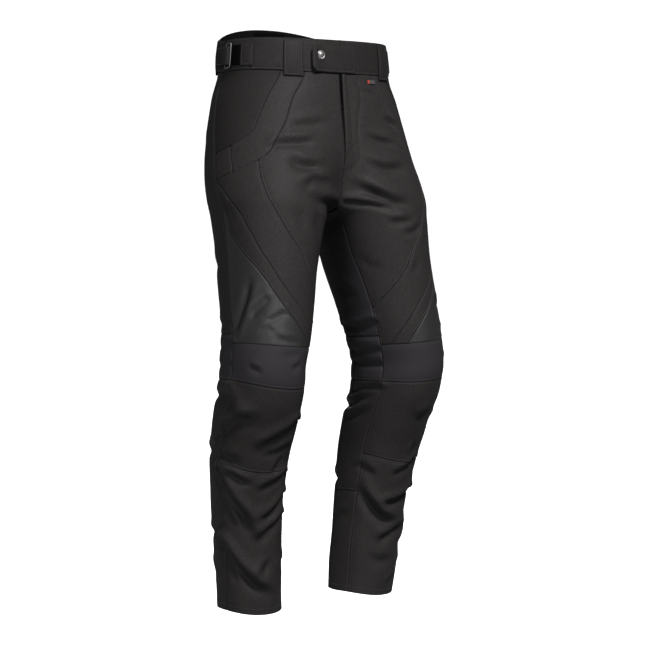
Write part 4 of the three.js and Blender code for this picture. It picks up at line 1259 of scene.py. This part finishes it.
def make_loops():
    rows = []
    for name, start in LOOP_PLACES.items():
        strip = strip_grid(start, start + LOOP["width"], LOOP["top"], LOOP["foot"], TRIM_STEP)
        down = (LOOP["top"] - strip["z"]) / (LOOP["top"] - LOOP["foot"])
        bulge = LOOP["bulge"] * np.sin(np.pi * np.clip(down, 0, 1)) ** 0.7
        lift = (LAY_GAP + LOOP_LIFT + bulge)[:, None]
        lay_strip(name, strip, lift, TRIM_CLOTH, TRIM_SIDES, 0.5)
        rows += strip_lines(strip, ("start", "end", "foot"))
    return rows


def side_strip(side, start, end, inset, step):
    """A strip round the side of the waist, from start to end towards the back."""
    span = (start, end) if side == LEFT else (-end, -start)
    return strip_grid(*span, ADJUSTER["top"] - inset, ADJUSTER["foot"] + inset, step)


def make_adjusters():
    """At each side a sewn patch, its webbing round a ring and on inside the ring as painted shade, and
    the strap under the ring.
    """
    rows = []
    for side, word in SIDES:
        patch = side_strip(side, ADJUSTER["patch"], ADJUSTER["patch_end"], 0, BAND_STEP)
        lay_strip(f"adjuster_patch_{word}", patch, LAY_GAP, TRIM_CLOTH, TRIM_SIDES, 0.5)
        rows += strip_lines(patch)
        for name, slot, way, inset, sides, puff in (
            ("webbing", "webbing", WEBBING_AND_SHADE_WAY, 2, WEBBING_SIDES, 0.2),
            ("strap", "softshell", STRAP_WAY, 3, TRIM_SIDES, 0.4),
        ):
            places, lifts = np.array(way, float).T
            strip = side_strip(side, places[0], places[-1], inset, 1.6)
            lift = np.interp(np.abs(strip["u"]), places, lifts)
            sewn = name == "strap"
            lay_strip(f"adjuster_{name}_{word}", strip, lift, TRIM_CLOTH, sides, puff, sewn)
            if sewn:
                rows += strip_lines(strip)
        declare(make_ring(side, word))
    return rows


def ring_faces(rings, count, closed):
    """Faces between rings of points, and from the last ring to the first where closed."""
    faces = []
    for j in range(rings if closed else rings - 1):
        for i in range(count):
            n, m = (j + 1) % rings, (i + 1) % count
            faces.append((j * count + i, j * count + m, n * count + m, n * count + i))
    return faces


def ring_path(width, height, corner, steps):
    """Centre line of a rounded rectangle, as x and y."""
    path = []
    for k, (sx, sy) in enumerate(((1, -1), (1, 1), (-1, 1), (-1, -1))):
        for step in range(steps + 1):
            angle = math.radians(-90 + 90 * k + 90 * step / steps)
            x = sx * (width / 2 - corner) + corner * math.cos(angle)
            y = sy * (height / 2 - corner) + corner * math.sin(angle)
            path.append((x, y))
    return np.array(path)


def make_ring(side, word):
    bar = RING["bar"]
    path = ring_path(
        RING["width"] - bar, RING["height"] - bar, RING["corner"], RING["corner_steps"]
    )
    ahead = np.roll(path, -1, axis=0) - np.roll(path, 1, axis=0)
    outward = unit(np.stack([ahead[:, 1], -ahead[:, 0]], -1))
    around = np.radians(np.arange(0, 360, 30))
    square = np.abs(np.cos(around)) ** 4 + np.abs(np.sin(around)) ** 4
    reach = bar / 2 / square**0.25
    flat = path[:, None, :] + outward[:, None, :] * (reach * np.cos(around))[None, :, None]
    height = np.broadcast_to(bar / 2 + reach * np.sin(around), flat.shape[:2])
    seat, normal, up = waist_seat(side * RING["u"], (ADJUSTER["top"] + ADJUSTER["foot"]) / 2)
    out = unit(normal - up * np.dot(normal, up))
    right = np.cross(up, out)
    base = seat + normal * RING["lift"]
    points = base + flat[..., :1] * right + flat[..., 1:] * up + height[..., None] * out
    faces = [face[::-1] for face in ring_faces(*points.shape[:2], True)]
    name = f"adjuster_ring_{word}"
    return make_object(name, points.reshape(-1, 3), faces, len(faces), (GUNMETAL,))


def make_snap():
    """The snap's cap, turned on an axis square to the closing tab."""
    seat, out, _ = waist_seat(SNAP["u"], SNAP["z"])
    base = seat + out * (tab_lift(SNAP["u"]) + CLOTH + SNAP["seat"])
    first = unit(np.cross(out, [0, 0, 1]))
    second = np.cross(out, first)
    count = SNAP["sides"]
    angles = np.radians(np.arange(count) * 360 / count)
    ring = np.cos(angles)[:, None] * first + np.sin(angles)[:, None] * second
    rings = [base + r * SNAP["radius"] * ring + h * SNAP["thick"] * out for r, h in SNAP_PROFILE]
    faces = ring_faces(len(rings), count, False)
    faces.append(tuple(range(count))[::-1])
    faces.append(tuple((len(rings) - 1) * count + i for i in range(count)))
    piece = make_object("snap_cap", np.concatenate(rings), faces, len(faces), (SNAP_METAL,))
    declare(piece)


def make_seam_tab():
    """A small folded tab in the waist seam, red at its first end and grey beyond."""
    strip = strip_grid(SEAM_TAB["from"], SEAM_TAB["to"], SEAM_TAB["top"], SEAM_TAB["foot"], 1.5)
    sides = (TAB_GREY, TAB_RED)
    mesh = lay_strip("seam_tab", strip, LAY_GAP, TRIM_CLOTH, sides, 0.3, False).data
    centres = np.zeros(len(mesh.polygons) * 3, np.float32)
    mesh.polygons.foreach_get("center", centres)
    split, _, _ = waist_seat(SEAM_TAB["from"] + SEAM_TAB["red"], -50)
    red = centres.reshape(-1, 3)[:, 0] < split[0] * MM
    mesh.polygons.foreach_set("material_index", red.astype(np.int32))


def make_label():
    start, end = HALF_GIRTH - LABEL["half"], HALF_GIRTH + LABEL["half"]
    strip = strip_grid(start, end, LABEL["top"], LABEL["foot"], TRIM_STEP)
    inward = -BAND_CLOTH - SEAM_GAP - LABEL["thick"]
    lay_strip("inside_label", strip, inward, LABEL["thick"], WEBBING_SIDES, 0, False)


# Stage

CAMERA = {"turn": 35, "distance": 3.4, "aside": 0.036, "level": -0.490, "lens": 103.57}

# Lights, in metres: what they light, turn from the front towards the wearer's right, rise,
# distance, size, power and the point they face
LIGHTS = {
    "key": ("cloth", 6, 46, 3.6, (0.9, 0.9), 450, (0, 0, -0.45)),
    "fill": ("cloth", 62, 8, 4.2, (1.2, 1.8), 150, (0, 0, -0.45)),
    "wash": ("backdrop", 215, 62, 4.4, (3.4, 2.4), 600, (1.6, 2.4, 0.2)),
    "floor": ("backdrop", 35, 60, 4.6, (3.0, 3.0), 460, (0.4, 0.6, -1.0)),
    "rear": ("cloth", 215, 14, 3.6, (1.0, 1.4), 520, (0, 0, -0.45)),
}
WORLD_LIGHT = 0.35

# The backdrop's floor, its bend up and its wall, in metres
FLOOR_DROP = 0.004
FLOOR_FRONT = -5.0
BEND_AT = 4.2
BEND_RADIUS = 0.8
WALL_TOP = 5.0
HALF_WIDTH = 8.0


def area_light(name, turn, rise, distance, size, power, target):
    data = bpy.data.lights.new(name, "AREA")
    data.shape = "RECTANGLE"
    data.size, data.size_y = size
    data.energy = power
    light = bpy.data.objects.new(name, data)
    bpy.context.scene.collection.objects.link(light)
    turn, rise = math.radians(turn), math.radians(rise)
    away = Vector((-math.sin(turn) * math.cos(rise), -math.cos(turn) * math.cos(rise), math.sin(rise)))
    light.location = Vector(target) + away * distance
    light.rotation_euler = (-away).to_track_quat("-Z", "Y").to_euler()
    return light


def make_stage():
    turn = math.radians(CAMERA["turn"])
    sine, cosine = math.sin(turn), math.cos(turn)
    floor = cad_low.z - FLOOR_DROP
    steps = [(FLOOR_FRONT, 0.0), (BEND_AT, 0.0)]
    for angle in np.radians(range(10, 91, 10)):
        steps.append((BEND_AT + BEND_RADIUS * math.sin(angle), BEND_RADIUS * (1 - math.cos(angle))))
    steps.append((BEND_AT + BEND_RADIUS, WALL_TOP))
    points, faces = [], []
    for back, rise in steps:
        for aside in (-HALF_WIDTH, HALF_WIDTH):
            x = aside * cosine + back * sine
            y = -aside * sine + back * cosine
            points.append((x / MM, y / MM, (floor + rise) / MM))
    for k in range(len(steps) - 1):
        faces.append((2 * k, 2 * k + 1, 2 * k + 3, 2 * k + 2))
    white = shader("backdrop", (0.92, 0.92, 0.92), 0.9, specular=0.1)[0]
    backdrop = make_object("backdrop", points, faces, len(faces), [white])
    backdrop.data.polygons.foreach_set("use_smooth", [True] * len(faces))
    backdrop.visible_diffuse = False

    camera = bpy.data.objects.new("camera", bpy.data.cameras.new("camera"))
    bpy.context.scene.collection.objects.link(camera)
    distance, aside = CAMERA["distance"], CAMERA["aside"]
    camera.location = (
        -distance * sine + aside * cosine, -distance * cosine - aside * sine, CAMERA["level"]
    )
    camera.rotation_euler = (math.radians(90), 0, -turn)
    camera.data.lens = CAMERA["lens"]
    camera.data.sensor_width = 36
    bpy.context.scene.camera = camera

    world = bpy.data.worlds.new("studio")
    world.use_nodes = True
    world.node_tree.nodes["Background"].inputs["Color"].default_value = (1, 1, 1, 1)
    world.node_tree.nodes["Background"].inputs["Strength"].default_value = WORLD_LIGHT
    bpy.context.scene.world = world
    bpy.context.scene.view_settings.view_transform = "Standard"

    unlit = bpy.data.collections.new("not_lit_by_the_cloth_lights")
    unlit.objects.link(backdrop)
    unlit.collection_objects[0].light_linking.link_state = "EXCLUDE"
    lit = bpy.data.collections.new("lit_by_the_backdrop_lights")
    lit.objects.link(backdrop)
    for name, (lights_what, *place) in LIGHTS.items():
        linking = area_light(name, *place).light_linking
        linking.receiver_collection = unlit if lights_what == "cloth" else lit
        if lights_what == "backdrop":
            linking.blocker_collection = lit


# Build

grids = make_panels()
panel_stitches(grids)
make_fly(grids)
waist_rows = make_waistband() + make_tab() + make_loops() + make_adjusters()
declare(sew("waist_stitching", waist_rows, THREAD), stands_for_node=False)
make_snap()
make_seam_tab()
make_label()
make_stage()
